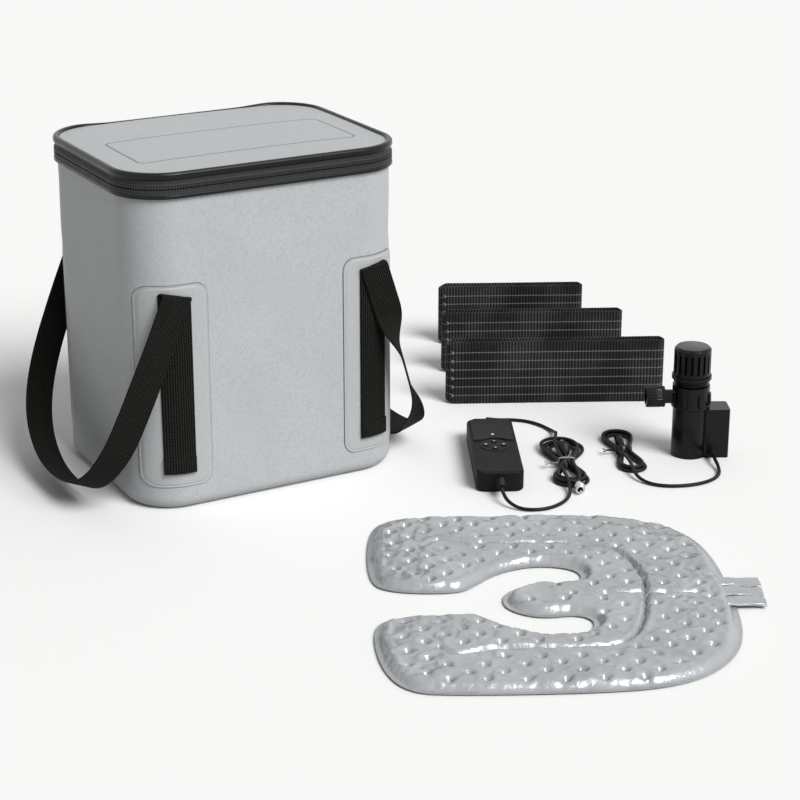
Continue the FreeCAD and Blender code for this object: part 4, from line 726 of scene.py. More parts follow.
across, height, inward_by = patch_grid()
raised = PATCH_WALL * smooth_step(-0.2, 1.2, inward_by) - GROOVE_DEEP * np.exp(
    -((inward_by - PATCH_GROOVE) / GROOVE_WIDE) ** 2)
raised[inward_by < 0.01] = -PATCH_SUNK
points, faces, patch_uv = [], [], []
for x_sign in (-1, 1):
    for front in (True, False):
        travel = wall_way(x_sign * STRAP_PLACE + across, front)
        sheet_points, sheet_faces = two_sided(
            on_wall(travel, height, raised),
            on_wall(travel, height, np.full(raised.shape, -PATCH_SUNK)))
        faces.append(sheet_faces + sum(len(part) for part in points))
        points.append(sheet_points)
        patch_uv.append(np.tile(np.stack([across, height], -1).reshape(-1, 2), (2, 1)))
patches = new_piece("welded_patches", np.concatenate(points), np.concatenate(faces), patch_cloth,
                    uv=np.concatenate(patch_uv), crease=60)
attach(patches, "bucket")
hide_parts("strap_patches")

# ---------------------------------------------------------------- carrying straps
# Black nylon webbing, 25 mm wide. A strip is sewn down on each patch, folds over forward on a
# slant at its top, and hangs as a loop round the side of the bucket to the strip behind.

STRAP_HALF, STRAP_WALL = 12.5, 1.6
STRAP_FOOT, HINGE_HEIGHT = 33, 181
STRIP_GAP = 0.05
STRIP_OUT = PATCH_WALL + STRAP_WALL / 2 + STRIP_GAP
LOOP_HALF, LOOP_DROP = 99.7, 181
# The hanging shape as shares of the loop's half width and drop, from its front end to its back.
LOOP_SHAPE = ((-1, 0), (-1, 0.27), (-0.99, 0.52), (-0.94, 0.76), (-0.68, 0.95), (-0.2, 1.0),
              (0.3, 0.96), (0.72, 0.83), (0.94, 0.61), (1, 0.3), (1, 0))
LOOP_TILT = {-1: math.radians(23.5), 1: math.radians(18)}
# The loops' own twist on the front leg, about 100 mm down it: most on the right one.
LOOP_TWIST = {-1: math.radians(-8), 1: math.radians(66)}
TWIST_RUN = (38, 84, 118, 168)
HEM_TOP, HEM_FATNESS = 46, 1.8
ROW_STEP = 6
FOLD_ROUND, FOLD_ROWS = 1.3, 9
RIB_PITCH, PICK_PITCH, RIB_DEEP = 1.9, 1.5, 0.10
# A slanted end's slant fades out over the first run, and reaches past the end by the second.
SLANT_FADE, SLANT_SPARE = 30, 20


def strap_section():
    """A strap's cross-section as width and thickness: ribs a rib's pitch apart on both faces, and
    a rounded rolled edge at each side."""
    round_edge = STRAP_WALL / 2
    flat = STRAP_HALF - round_edge
    across = np.linspace(-flat, flat, 27)
    rib = RIB_DEEP * np.cos(2 * math.pi * across / RIB_PITCH)
    swing = np.linspace(-math.pi / 2, math.pi / 2, 6)[1:-1]
    edge = np.stack([flat + round_edge * np.cos(swing), round_edge * np.sin(swing)], -1)
    lower = np.stack([across, -round_edge + rib], -1)
    upper = np.stack([across[::-1], round_edge - rib[::-1]], -1)
    return np.concatenate([lower, edge, upper, -edge])


def swept(name, centre, wide, thick, section, material, slant=(0, 0), cap=True):
    """A strap's section carried along points, given its width and thickness directions there.
    Its two ends may be cut on a slant, which moves each point along by that share of its width."""
    step = np.linalg.norm(np.diff(centre, axis=0), axis=1)
    run = np.append(0, np.cumsum(step))
    fade = (np.clip(1 - run / SLANT_FADE, 0, 1), np.clip(1 - (run[-1] - run) / SLANT_FADE, 0, 1))
    shift = (fade[0] * slant[0] + fade[1] * slant[1])[:, None] * section[None, :, 0]
    along = run[:, None] + shift
    ends = [(centre[0] - centre[1]) / step[0], (centre[-1] - centre[-2]) / step[-1]]
    long_run = np.concatenate([[-SLANT_SPARE], run, [run[-1] + SLANT_SPARE]])
    long_centre = np.concatenate([[centre[0] + SLANT_SPARE * ends[0]], centre,
                                  [centre[-1] + SLANT_SPARE * ends[1]]])
    place = np.stack([np.interp(along, long_run, long_centre[:, axis]) for axis in range(3)], -1)
    points = (place + section[None, :, :1] * wide[:, None]
              + section[None, :, 1:] * thick[:, None])
    rows, columns = points.shape[:2]
    faces = quads(rows, columns, round_columns=True).tolist()
    if cap:
        faces += [list(range(columns)), [(rows - 1) * columns + at for at in range(columns)]]
    uv = np.stack([along, np.broadcast_to(section[None, :, 0], along.shape)], axis=-1)
    return new_piece(name, points, faces, material, uv=uv, crease=60)


# Woven nylon webbing: matt black cords side by side, crossed by thinner threads, with the raised
# threads painted lighter as highlights and the hollows darker as shade. The real weave is 1 mm and
# finer, and is drawn at 1.9 by 1.5 mm so that it shows.
webbing, tree, shader, place = new_material("woven_nylon_webbing", "#0A0A0A", 0.68, Specular_IOR_Level=0.08)
ribs = node(tree, "ShaderNodeTexWave", {"Vector": place["UV"], "Distortion": 0.3,
                                        "Scale": WAVE / (RIB_PITCH * PER_MM),
                                        "Phase Offset": math.pi / 2}, bands_direction="Y")
picks = node(tree, "ShaderNodeTexWave", {"Vector": place["UV"], "Distortion": 0.5,
                                         "Scale": WAVE / (PICK_PITCH * PER_MM)}, bands_direction="X")
fibre = node(tree, "ShaderNodeTexNoise", {"Vector": place["Object"], "Scale": 1100.0, "Detail": 2.0})
weave = node(tree, "ShaderNodeMath", {0: ribs.outputs["Fac"], 1: picks.outputs["Fac"]},
             operation="MULTIPLY")
weave = node(tree, "ShaderNodeMath", {0: fibre.outputs["Fac"], 1: 0.35, 2: weave.outputs[0]},
             operation="MULTIPLY_ADD")
# Painted highlight on the raised threads, and painted shade in the hollows between them.
weave_painted_highlight = node(tree, "ShaderNodeMapRange", {"Value": weave.outputs[0], "From Min": 0.25,
                                                   "From Max": 1.0})
tone = node(tree, "ShaderNodeMix", {0: weave_painted_highlight.outputs[0], 6: linear("#030302"),
                                    7: linear("#3E3E39")}, data_type="RGBA")
bump = node(tree, "ShaderNodeBump", {"Height": weave.outputs[0], "Strength": 1.0, "Distance": 0.0007})
feed(shader, Base_Color=tone.outputs[2], Normal=bump.outputs[0])


def smooth_path(corners, step=4.0):
    """A path of parabolas, each from the middle of one run between corners to the middle of the
    next, with straight ends; resampled evenly."""
    corners = np.asarray(corners, float)
    middles = (corners[1:] + corners[:-1]) / 2
    share = np.linspace(0, 1, 24)[:-1, None]
    bends = [(1 - share) ** 2 * start + 2 * share * (1 - share) * corner + share ** 2 * end
             for start, corner, end in zip(middles[:-1], corners[1:-1], middles[1:])]
    dense = np.concatenate([corners[:1], *bends, middles[-1:], corners[-1:]])
    run = np.append(0, np.cumsum(np.linalg.norm(np.diff(dense, axis=0), axis=1)))
    even = np.linspace(0, run[-1], max(int(run[-1] / step), 4) + 1)
    return np.stack([np.interp(even, run, dense[:, axis]) for axis in range(dense.shape[1])], -1)


section = strap_section()
for side, word in ((-1, "left"), (1, "right")):
    tilt = LOOP_TILT[side]
    slope = side * math.tan(tilt / 2)
    hinge = np.array([side * STRAP_PLACE, 0, HINGE_HEIGHT])
    upward = np.array([-side * math.sin(tilt), 0, math.cos(tilt)])
    wide_way = np.array([math.cos(tilt), 0, side * math.sin(tilt)])
    flat = smooth_path([(y * LOOP_HALF, -drop * LOOP_DROP) for y, drop in LOOP_SHAPE])
    centre = hinge + flat[:, :1] * np.array([0, 1, 0]) + flat[:, 1:] * upward
    ahead = np.gradient(centre, axis=0)
    ahead /= np.linalg.norm(ahead, axis=1)[:, None]
    wide = np.broadcast_to(wide_way, centre.shape)
    thick = np.cross(ahead, wide)
    run = np.append(0, np.cumsum(np.linalg.norm(np.diff(centre, axis=0), axis=1)))
    twist = LOOP_TWIST[side] * (smooth_step(*TWIST_RUN[:2], run)
                                - smooth_step(*TWIST_RUN[2:], run))[:, None]
    wide, thick = (wide * np.cos(twist) - thick * np.sin(twist),
                   thick * np.cos(twist) + wide * np.sin(twist))
    loop = swept(word + "_strap_loop", centre, wide, thick, section, webbing,
                 slant=(slope, -slope), cap=False)
    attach(loop, word + "_loop")
    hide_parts(word + "_handle")
    for front, end in ((True, "front"), (False, "back")):
        way = -1 if front else 1
        rows = np.concatenate([[STRAP_FOOT, HEM_TOP - ROW_STEP, HEM_TOP, HEM_TOP + 0.8],
                               np.arange(HEM_TOP + 8, HINGE_HEIGHT - 5, ROW_STEP),
                               [HINGE_HEIGHT - ROW_STEP / 2, HINGE_HEIGHT]])
        across = hinge[0] + section[:, 0]
        travel = wall_way(across, front)[None] + 0 * rows[:, None]
        lift = (rows[:, None] == HINGE_HEIGHT) * slope * section[None, :, 0]
        fat = np.where(rows[:, None] <= HEM_TOP, HEM_FATNESS, 1.0)
        out = STRIP_OUT + (fat - 1) * STRAP_WALL / 2 + section[None, :, 1] * fat
        points = on_wall(travel, rows[:, None] + lift, out)
        count, columns = points.shape[:2]
        faces = quads(count, columns, round_columns=True).tolist() + [list(range(columns))]
        uv = np.stack([rows[:, None] + lift, section[None, :, 0] + 0 * rows[:, None]], -1)
        strip = new_piece(f"{word}_sewn_strip_{end}", points, faces, webbing, uv=uv, crease=60)
        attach(strip, "bucket")
        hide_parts("strap_anchors")
        # The fold: half a turn about the slanted line between the strip's layer and the loop's,
        # deeper at the outer edge, where the strip follows the wall's corner away from the loop.
        swing = np.linspace(0, math.pi, FOLD_ROWS)[:, None]
        line_x, face = section[None, :, 0], section[None, :, 1]
        strip_y = np.abs(on_wall(wall_way(across, front), HINGE_HEIGHT,
                                 np.full(columns, STRIP_OUT))[:, 1])
        radius = (LOOP_HALF - strip_y)[None] / 2
        bulge = np.minimum(radius, FOLD_ROUND) + face
        ring = np.stack([hinge[0] + line_x - side * math.sin(tilt / 2) * bulge * np.sin(swing),
                         way * (LOOP_HALF - radius - (radius + face) * np.cos(swing)),
                         HINGE_HEIGHT + slope * line_x
                         + math.cos(tilt / 2) * bulge * np.sin(swing)], -1)
        uv = np.stack([swing * radius, line_x + 0 * swing], -1)
        fold = new_piece(f"{word}_strap_fold_{end}", ring, quads(FOLD_ROWS, columns, round_columns=True),
                         webbing, uv=uv, crease=60)
        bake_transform(fold)

# ---------------------------------------------------------------- insulation and liner
# Between the cloths is closed-cell polyethylene foam, with a stiff board in the base. Inside is
# a loose liner of welded PEVA film, slightly creased, whose rim is bound over the wall's top.

FOAM_CELL = 1.6


def foam(name, colour, pale):
    """Closed-cell foam: a soft matt colour with cells a millimetre or two across."""
    made, tree, shader, place = new_material(name, colour, 0.85, Specular_IOR_Level=0.2)
    cells = node(tree, "ShaderNodeTexVoronoi", {"Vector": place["Object"],
                                                "Scale": 1 / (FOAM_CELL * PER_MM)})
    tone = node(tree, "ShaderNodeMix", {0: cells.outputs["Distance"], 6: linear(pale), 7: linear(colour)},
                data_type="RGBA")
    bump = node(tree, "ShaderNodeBump", {"Height": cells.outputs["Distance"], "Strength": 0.4,
                                         "Distance": 0.0004})
    feed(shader, Base_Color=tone.outputs[2], Normal=bump.outputs[0])
    return made


def repaint(names, material):
    """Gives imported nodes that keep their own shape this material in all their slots."""
    for name in names:
        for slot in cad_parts[name].material_slots:
            slot.material = material


repaint(("foam_base", "foam_wall", "lid_foam"), foam("polyethylene_foam", "#C9CBCB", "#DEDFDF"))
repaint(("base_board",), foam("pressed_fibre_board", "#6E6A63", "#86827A"))

LINER_OUT, LINER_ROUND, CREASE_DEEP, LINER_COLUMNS = -11.0, 6, 0.35, 201
LINER_CORNER = CORNER + LINER_OUT
RIM_IN, RIM_OUT, RIM_FOOT, RIM_TOP = -11.4, 0.1, 263.9, 265.5
# Pearl grey PEVA film: satin, faintly cloudy, with soft creases that follow no line.
peva, tree, shader, place = new_material("pearl_peva_film", "#C2C5C6", 0.32, Coat_Weight=0.2)
cloud = node(tree, "ShaderNodeTexNoise", {"Vector": place["Object"], "Scale": 18.0, "Detail": 3.0,
                                          "Distortion": 0.8})
tone = node(tree, "ShaderNodeMix", {0: cloud.outputs["Fac"], 6: linear("#B2B5B7"), 7: linear("#D3D5D6")},
            data_type="RGBA")
bump = node(tree, "ShaderNodeBump", {"Height": cloud.outputs["Fac"], "Strength": 0.5, "Distance": 0.003})
feed(shader, Base_Color=tone.outputs[2], Normal=bump.outputs[0])
liner_low, liner_high = span("inner_liner")
liner_trip = 4 * (HALF_X + HALF_Y + 2 * LINER_OUT - 2 * LINER_CORNER + LINER_CORNER * math.pi / 2)
liner_ring, liner_normals = outline(HALF_X + LINER_OUT, HALF_Y + LINER_OUT, LINER_CORNER,
                                    np.linspace(0, liner_trip, LINER_COLUMNS))
turn = np.linspace(0, 2 * math.pi, LINER_COLUMNS)
liner_rows = np.linspace(0, 1, 60)[1:]
liner_rise = liner_low[2] + LINER_ROUND + (liner_high[2] - liner_low[2] - LINER_ROUND) * liner_rows
crumple = CREASE_DEEP * (1 + np.sin(7 * turn[None] + 9 * liner_rows[:, None]
                                    + 2.2 * np.sin(3 * turn[None] + 4 * liner_rows[:, None]))
                         * np.cos(19 * liner_rows[:, None] + 3 * np.sin(5 * turn[None])))
crumple *= smooth_step(0, 0.08, liner_rows)[:, None] * (1 - smooth_step(0.94, 1, liner_rows))[:, None]
wall_points = np.concatenate([liner_ring[None] - liner_normals[None] * crumple[..., None],
                              liner_rise[:, None, None] + 0 * crumple[..., None]], -1)
swing = np.linspace(0, math.pi / 2, 6)
turn_in = np.concatenate([
    liner_ring[None] - (LINER_ROUND * (1 - np.sin(swing)))[:, None, None] * liner_normals[None],
    (liner_low[2] + LINER_ROUND * (1 - np.cos(swing)))[:, None, None]
    + 0 * liner_ring[None, :, :1]], -1)
shares = np.linspace(0, 1, 16)[:-1, None, None]
floor_part = np.concatenate([(liner_ring - LINER_ROUND * liner_normals)[None] * shares,
                             liner_low[2] + 0 * shares + 0 * liner_ring[None, :, :1]], -1)
liner_points = np.concatenate([floor_part, turn_in, wall_points])
liner = new_piece("creased_liner", liner_points, quads(len(liner_points), LINER_COLUMNS), peva, crease=60,
                  inward=True)
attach(liner, "bucket")
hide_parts("inner_liner")
repaint(("lid_liner",), peva)
rim = band("rim_binding_tape", rounded_section(RIM_IN, RIM_OUT, RIM_FOOT, RIM_TOP, corner=0.7), zip_tape)
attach(rim, "bucket")
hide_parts("rim_binding")

# ---------------------------------------------------------------- controller case
# An in-line hand controller: two moulded ABS halves screwed together, with a raised brow above a
# round rubber keypad, four keys and a small lamp. It lies on the floor beside the bucket.

KIT_TURN = math.radians(-27.15)
CONTROLLER_PLACE = (226, -34)


def laid(points, place):
    """Points given about a loose piece's own middle, in that piece's turned place on the floor."""
    points = np.asarray(points, float)
    across, along = points[..., 0] + place[0], points[..., 1] + place[1]
    return np.stack([across * math.cos(KIT_TURN) - along * math.sin(KIT_TURN),
                     across * math.sin(KIT_TURN) + along * math.cos(KIT_TURN), points[..., 2]], -1)


def moulded(name, colour, pale, roughness, grain, depth, metal=0.0):
    """A moulded or plated finish: two close tones in slow clouds, and a grain of this size in
    millimetres and this depth."""
    made, tree, shader, place = new_material(name, colour, roughness, Metallic=metal,
                                             Specular_IOR_Level=0.5 if metal else 0.2)
    cloud = node(tree, "ShaderNodeTexNoise", {"Vector": place["Object"], "Scale": 60.0, "Detail": 3.0})
    grit = node(tree, "ShaderNodeTexNoise", {"Vector": place["Object"], "Scale": 0.5 / (grain * PER_MM)})
    tone = node(tree, "ShaderNodeMix", {0: cloud.outputs["Fac"], 6: linear(colour), 7: linear(pale)},
                data_type="RGBA")
    gloss = node(tree, "ShaderNodeMapRange", {"Value": cloud.outputs["Fac"], "To Min": roughness - 0.06,
                                              "To Max": roughness + 0.06})
    bump = node(tree, "ShaderNodeBump", {"Height": grit.outputs["Fac"], "Strength": depth,
                                         "Distance": 0.0002})
    feed(shader, Base_Color=tone.outputs[2], Roughness=gloss.outputs[0], Normal=bump.outputs[0])
    return made


# Spark-eroded ABS: charcoal black and matt on the brow; below it a finer grain, its colour
# painted much darker as shade.
abs_case = moulded("spark_eroded_abs", "#161716", "#1E1F1E", 0.56, 0.35, 0.5)
abs_painted_shade_below = moulded("fine_eroded_abs_painted_shade", "#030303", "#070707", 0.6, 0.25, 0.3)
silicone = moulded("moulded_silicone_keys", "#121312", "#1A1B1A", 0.62, 0.5, 0.3)
BROW_HEIGHT = 18.4
# The back half and the front below the brow take the copy painted darker as shade.
softened("controller_back", 0.4, abs_painted_shade_below, "controller")
case_front = softened("controller_front", 0.45, abs_painted_shade_below, "controller")
case_front.data.materials.append(abs_case)
for face in case_front.data.polygons:
    face.material_index = int(face.center.z > BROW_HEIGHT * PER_MM)
softened("keypad_plate", 0.35, silicone, "controller")
for word in ("up", "down", "left", "right"):
    softened("key_" + word, 0.3, silicone, f"key_{word}_cap")

# Printed key marks: a dab of pale grey ink on each key's top, round on two and oval on two.
ink = moulded("pad_printed_ink", "#B9BBBC", "#C9CBCC", 0.5, 0.4, 0.2)
KEYPAD_MIDDLE, KEY_THROW, KEY_TOP = -2.5, 7.6, 19.5
INK_THICK, INK_SUNK = 0.12, 0.02
DAB_RINGS, DAB_SIDES = 5, 24
KEY_MARKS = {"up": (0, KEY_THROW, 1.0, 1.0), "down": (0, -KEY_THROW, 1.0, 1.0),
             "left": (-KEY_THROW, 0, 1.6, 1.1), "right": (KEY_THROW, 0, 1.6, 1.1)}


def turned(name, profile, start, way, material, sides=32, wave=0.0, waves=0, crease=35):
    """A profile of distance along an axis and radius, turned round that axis from a start point:
    x = radius cos, y = radius sin, with the radius rippled by a share so many times round."""
    start, way = np.asarray(start, float), np.asarray(way, float)
    way = way / np.linalg.norm(way)
    aside = np.cross(way, (0, 0, 1) if abs(way[2]) < 0.9 else (1, 0, 0))
    aside /= np.linalg.norm(aside)
    third = np.cross(way, aside)
    profile = np.asarray(profile, float)
    swing = np.arange(sides) * 2 * math.pi / sides
    radius = profile[:, 1:2] * (1 + wave * np.cos(waves * swing))[None]
    points = (start + profile[:, None, :1] * way
              + radius[..., None] * (np.cos(swing)[:, None] * aside + np.sin(swing)[:, None] * third))
    return new_piece(name, points, quads(len(profile), sides, round_columns=True), material, crease=crease)


def dab(points, place, height):
    """A low dome on a plan outline: rings that close in and rise to the middle."""
    share = np.linspace(1, 0, DAB_RINGS)[:, None, None]
    middle = points.mean(axis=0)
    flat = middle + (points - middle)[None] * share
    rise = height * np.sqrt(1 - share[..., 0] ** 2)
    return laid(np.concatenate([flat, (rise + 0 * flat[..., 0])[..., None]], -1)
                + np.array([0, 0, place]), CONTROLLER_PLACE)


circle = np.arange(DAB_SIDES) * 2 * math.pi / DAB_SIDES
for word, (across, along, wide, tall) in KEY_MARKS.items():
    rim = np.stack([across + wide * np.cos(circle), KEYPAD_MIDDLE + along + tall * np.sin(circle)],
                   -1)
    mark = new_piece(f"key_mark_{word}", dab(rim, KEY_TOP - INK_SUNK, INK_THICK),
                     quads(DAB_RINGS, DAB_SIDES, round_columns=True), ink)
    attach(mark, f"key_{word}_cap")

# Milky acrylic lamp window: white and glossy, with a little light let through.
lamp, tree, shader, place = new_material("milky_acrylic_lens", "#E9EAE8", 0.15, Transmission_Weight=0.2)
milk = node(tree, "ShaderNodeTexNoise", {"Vector": place["Object"], "Scale": 500.0})
tone = node(tree, "ShaderNodeMix", {0: milk.outputs["Fac"], 6: linear("#DCDDDC"), 7: linear("#F4F5F4")},
            data_type="RGBA")
feed(shader, Base_Color=tone.outputs[2])
softened("indicator_lens", 0.3, lamp, "controller")

# Inside it: a glass-fibre board with lacquered copper, dome switches, and zinc-plated screws.
repaint(("circuit_board",), moulded("lacquered_glass_fibre", "#123D26", "#1A5233", 0.35, 1.2, 0.3))
repaint(("tact_switches",), moulded("moulded_switch_nylon", "#161616", "#222222", 0.4, 0.4, 0.3))
repaint(("case_screws",), moulded("zinc_plated_steel", "#A9ABAC", "#C4C6C7", 0.35, 0.3, 0.3, 1.0))

# ---------------------------------------------------------------- controller leads
# Two thin round PVC leads, each out through a ribbed relief, round on the floor and into one
# hank with a waist, tied there with plastic-coated wire. One ends in a plug, one in a socket.

LEAD_THICK = 3.0
LEAD_REST = 1.6
PVC_BLACK = moulded("extruded_pvc_sheath", "#0E0F0F", "#171818", 0.4, 0.8, 0.25)
RELIEF_FOOT, RELIEF_END, LEAD_HEIGHT = 63, 77.5, 9.5
RELIEF_RINGS, RING_PITCH, RING_OUT, RING_TAPER = 4, 3.0, 4.35, 0.32
POWER_ROUTE = ((0, 77.5, 9.5), (0, 86, 9.5), (3, 95, 5.5), (12, 101.5, 2), (24, 103, LEAD_REST),
               (38, 98.5, LEAD_REST), (49, 88, LEAD_REST), (56, 76, LEAD_REST), (59, 65, 3.4),
               (59, 56, 6.8), (58, 48, 8.4), (56.5, 40, 8.2), (55, 31, 6.6))
OUTPUT_ROUTE = ((0, -77.5, 9.5), (0, -86, 9.5), (3, -95.5, 5.5), (12, -103, 2),
                (24, -105.5, LEAD_REST), (37, -102, LEAD_REST), (47.5, -93, LEAD_REST),
                (54.5, -81.5, LEAD_REST), (57.5, -70, 3), (57.6, -62, 5.4), (57.2, -54, 7.8),
                (56.6, -46, 7.8))
# Both leads' waist crossings, as the place beside the tie's middle and the height, in order,
# and between them the lobes: radius, reach, lean, and the height that the turn lies at.
WAIST = np.array((60.5, -13.5))
POWER_WAIST = ((-1.8, 5.2), (1.7, 1.8), (-4.9, 1.8), (4.9, 1.8), (-1.8, 8.6), (1.4, 6.4))
POWER_LOBES = ((11, -36.5, 1.0, 1.7), (18.6, 62, 1.6, 1.7), (15, -43, 1.0, 1.7),
               (14.6, 57.5, 0.5, 2.6), (10, -34, 0.0, 4.7))
OUTPUT_WAIST = ((-4.9, 5.2), (4.9, 5.2), (-1.6, 2.4), (4.6, 8.4))
OUTPUT_LOBES = ((16.4, 60, -2.0, 5.4), (13.5, -40, 0.0, 4.7), (10.8, 53, 0.5, 1.7))
# Each side of a lobe takes this share of its run, and a lobe has this many points.
LOBE_SIDE, LOBE_POINTS = 0.3, 10


def lobe_turn(first, last, lobe, middle, shares):
    """Points of half a turn of a tied hank, from one waist crossing to the next: out along a
    widening side, round half a circle at the far end, and back along the other side, while its
    height goes from the crossings' to the one that it lies at."""
    radius, reach, lean, rest = lobe
    shares = np.asarray(shares)
    side = np.sign(first[0])
    end = np.where(shares[:, None] < 0.5, first, last)
    open_up = smooth_step(0, 1, np.minimum(shares, 1 - shares) / LOBE_SIDE)
    turn = math.pi * np.clip((shares - LOBE_SIDE) / (1 - 2 * LOBE_SIDE), 0, 1)
    out = np.clip(np.minimum(shares, 1 - shares) / LOBE_SIDE, 0, 1)
    x = end[:, 0] + (side * radius * np.cos(turn) + lean - end[:, 0]) * open_up
    y = np.sign(reach) * ((abs(reach) - radius) * out + radius * np.sin(turn))
    z = end[:, 1] + (rest - end[:, 1]) * open_up
    return np.stack([middle[0] + x, middle[1] + y, z], -1)


def hank_points(waist, lobes, middle):
    """All the points of a hank's turns: its waist crossings with the lobes between them."""
    shares = (np.arange(LOBE_POINTS) + 0.5) / LOBE_POINTS
    return np.concatenate([lobe_turn(waist[at], waist[at + 1], lobe, middle, shares)
                           for at, lobe in enumerate(lobes)])


def new_cord(name, points):
    """A round lead: one open NURBS spline, with a route's points as its corners."""
    points = np.asarray(points, float) * PER_MM
    line = bpy.data.curves.new(name, "CURVE")
    line.dimensions = "3D"
    spline = line.splines.new("NURBS")
    spline.points.add(len(points) - 1)
    spline.points.foreach_set("co", np.column_stack([points, np.ones(len(points))]).ravel())
    spline.order_u = 3
    spline.use_endpoint_u = True
    spline.resolution_u = 6
    line.bevel_depth = LEAD_THICK / 2 * PER_MM
    line.bevel_resolution = 4
    line.use_fill_caps = True
    line.materials.append(PVC_BLACK)
    made = bpy.data.objects.new(name, line)
    scene.collection.objects.link(made)
    return made


def ribbed_relief(name, end, node_name):
    """A strain relief at the case's end, 1 or -1: a tapered moulding cut by grooves into rings
    that get smaller outward."""
    rings = [(0, 0.2), (0, 4.5), (1.6, 4.5)]
    for at in range(RELIEF_RINGS):
        radius = RING_OUT - RING_TAPER * at
        begin = 2.4 + RING_PITCH * at
        rings += [(begin, radius - 0.9), (begin + 0.5, radius), (begin + 1.9, radius - 0.1),
                  (begin + 2.3, radius - 1.0)]
    rings += [(14.5, 2.9), (14.5, 0.2)]
    start = laid((0, end * RELIEF_FOOT, LEAD_HEIGHT), CONTROLLER_PLACE)
    ahead = laid((0, end * (RELIEF_FOOT + 1), LEAD_HEIGHT), CONTROLLER_PLACE) - start
    made = turned(name, rings, start, ahead, PVC_BLACK, sides=28, crease=50)
    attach(made, "controller")
    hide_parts(node_name)


ribbed_relief("power_relief_rings", 1, "inlet_relief")
ribbed_relief("output_relief_rings", -1, "outlet_relief")

# The plug: a ribbed moulding on the lead's end with a plated barrel in front of it.
bright, tree, shader, place = new_material("nickel_plated_brass", "#C9CACB", 0.2, Metallic=1.0)
rub = node(tree, "ShaderNodeTexNoise", {"Vector": place["Object"], "Scale": 420.0, "Detail": 3.0})
gloss = node(tree, "ShaderNodeMapRange", {"Value": rub.outputs["Fac"], "To Min": 0.12, "To Max": 0.34})
feed(shader, Roughness=gloss.outputs[0])

# The moulding's rings: a cable neck, grip ribs that get wider forward, and a plain shoulder.
GRIP_RIBS, GRIP_PITCH, GRIP_TAPER = 5, 1.9, 0.3
rings = [(0, 0.3), (0, 2.2), (3.5, 3.0)]
for at in range(GRIP_RIBS):
    begin, wider = 4.0 + GRIP_PITCH * at, GRIP_TAPER * at
    rings += [(begin, 3.5 + wider), (begin + 0.4, 4.1 + wider), (begin + 1.1, 4.1 + wider),
              (begin + 1.5, 3.5 + wider)]
rings += [(14.2, 5.2), (18.6, 5.3), (19.2, 4.9), (19.2, 0.3)]
PLUG_START, SOCKET_START = np.array((62, 6.5, 5.5)), np.array((65.5, -58, 4.6))
plug_way = laid(PLUG_START + (0, 1, 0), CONTROLLER_PLACE) - laid(PLUG_START, CONTROLLER_PLACE)
plug = turned("plug_moulding", rings, laid(PLUG_START, CONTROLLER_PLACE), plug_way, PVC_BLACK, sides=28,
              crease=50)
barrel = turned("plug_barrel", [(18, 1.2), (18, 2.75), (27.6, 2.75), (28, 2.4), (28, 1.3), (21, 1.2)],
                laid(PLUG_START, CONTROLLER_PLACE), plug_way, bright)
for made in (plug, barrel):
    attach(made, "controller")
    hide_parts("power_plug")
socket = turned("socket_moulding", [(0, 0.3), (0, 2.0), (1.2, 3.4), (4.6, 4.2), (5.2, 4.3), (5.2, 0.3)],
                laid(SOCKET_START, CONTROLLER_PLACE), -plug_way, PVC_BLACK, sides=28, crease=50)
sleeve = turned("socket_sleeve", [(4.8, 1.4), (4.8, 4.5), (5.4, 4.6), (9.4, 4.6), (9.8, 3.9),
                                  (13.2, 3.9), (13.6, 3.4), (13.6, 2.3), (9, 2.2)],
                laid(SOCKET_START, CONTROLLER_PLACE), -plug_way, bright, sides=40)
pin = turned("socket_pin", [(8, 0.1), (8, 0.9), (17.2, 0.9), (17.9, 0.4), (18, 0.1)],
             laid(SOCKET_START, CONTROLLER_PLACE), -plug_way, bright, sides=16)
for made in (socket, sleeve, pin):
    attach(made, "controller")
    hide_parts("output_connector")

# Each lead joins its hank on the way in to a crossing, and its plug or socket lies in the hank.
power_points = np.concatenate([
    POWER_ROUTE, lobe_turn((4, 5), POWER_WAIST[0], (5, 50, 0, 6), WAIST, (0.8, 0.88, 0.96)),
    hank_points(POWER_WAIST, POWER_LOBES, WAIST),
    [(61.9, -9, 6.2), (62, -2, 5.8), (62, 4, 5.5), PLUG_START]])
power_cord = new_cord("power_lead_cord", laid(power_points, CONTROLLER_PLACE))
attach(power_cord, "controller")
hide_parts("power_lead", "controller_lead_hank")
output_points = np.concatenate([
    OUTPUT_ROUTE, lobe_turn((4, 5), OUTPUT_WAIST[0], (4.5, -38, 0, 7.6), WAIST, (0.76, 0.87, 0.96)),
    hank_points(OUTPUT_WAIST, OUTPUT_LOBES, WAIST),
    lobe_turn(OUTPUT_WAIST[-1], (-4, 5), (8, -42, 0, 7.5), WAIST, (0.05, 0.13, 0.22)),
    [(68, -47, 6), (66, -54, 4.7), SOCKET_START]])
output_cord = new_cord("output_lead_cord", laid(output_points, CONTROLLER_PLACE))
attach(output_cord, "controller")
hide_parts("output_lead", "controller_lead_hank")


def cord_length(made):
    """The length of a cord's own line in metres, read from its spline with no thickness."""
    bare = made.data.copy()
    bare.bevel_depth = 0
    holder = bpy.data.objects.new("measure", bare)
    mesh = bpy.data.meshes.new_from_object(holder)
    points = np.zeros(len(mesh.vertices) * 3)
    mesh.vertices.foreach_get("co", points)
    bpy.data.objects.remove(holder)
    bpy.data.meshes.remove(mesh)
    bpy.data.curves.remove(bare)
    return float(np.linalg.norm(np.diff(points.reshape(-1, 3), axis=0), axis=1).sum())


cord_length(power_cord)
cord_length(output_cord)

# The tie: a flat strip of plastic with a wire down its middle, once round the waist, twisted on
# itself at one side and left with its two ends apart.
TIE_SECTION = np.array([(-1.4, -0.15), (-0.4, -0.17), (0, -0.4), (0.4, -0.17), (1.4, -0.15),
                        (1.4, 0.15), (0.4, 0.17), (0, 0.4), (-0.4, 0.17), (-1.4, 0.15)])
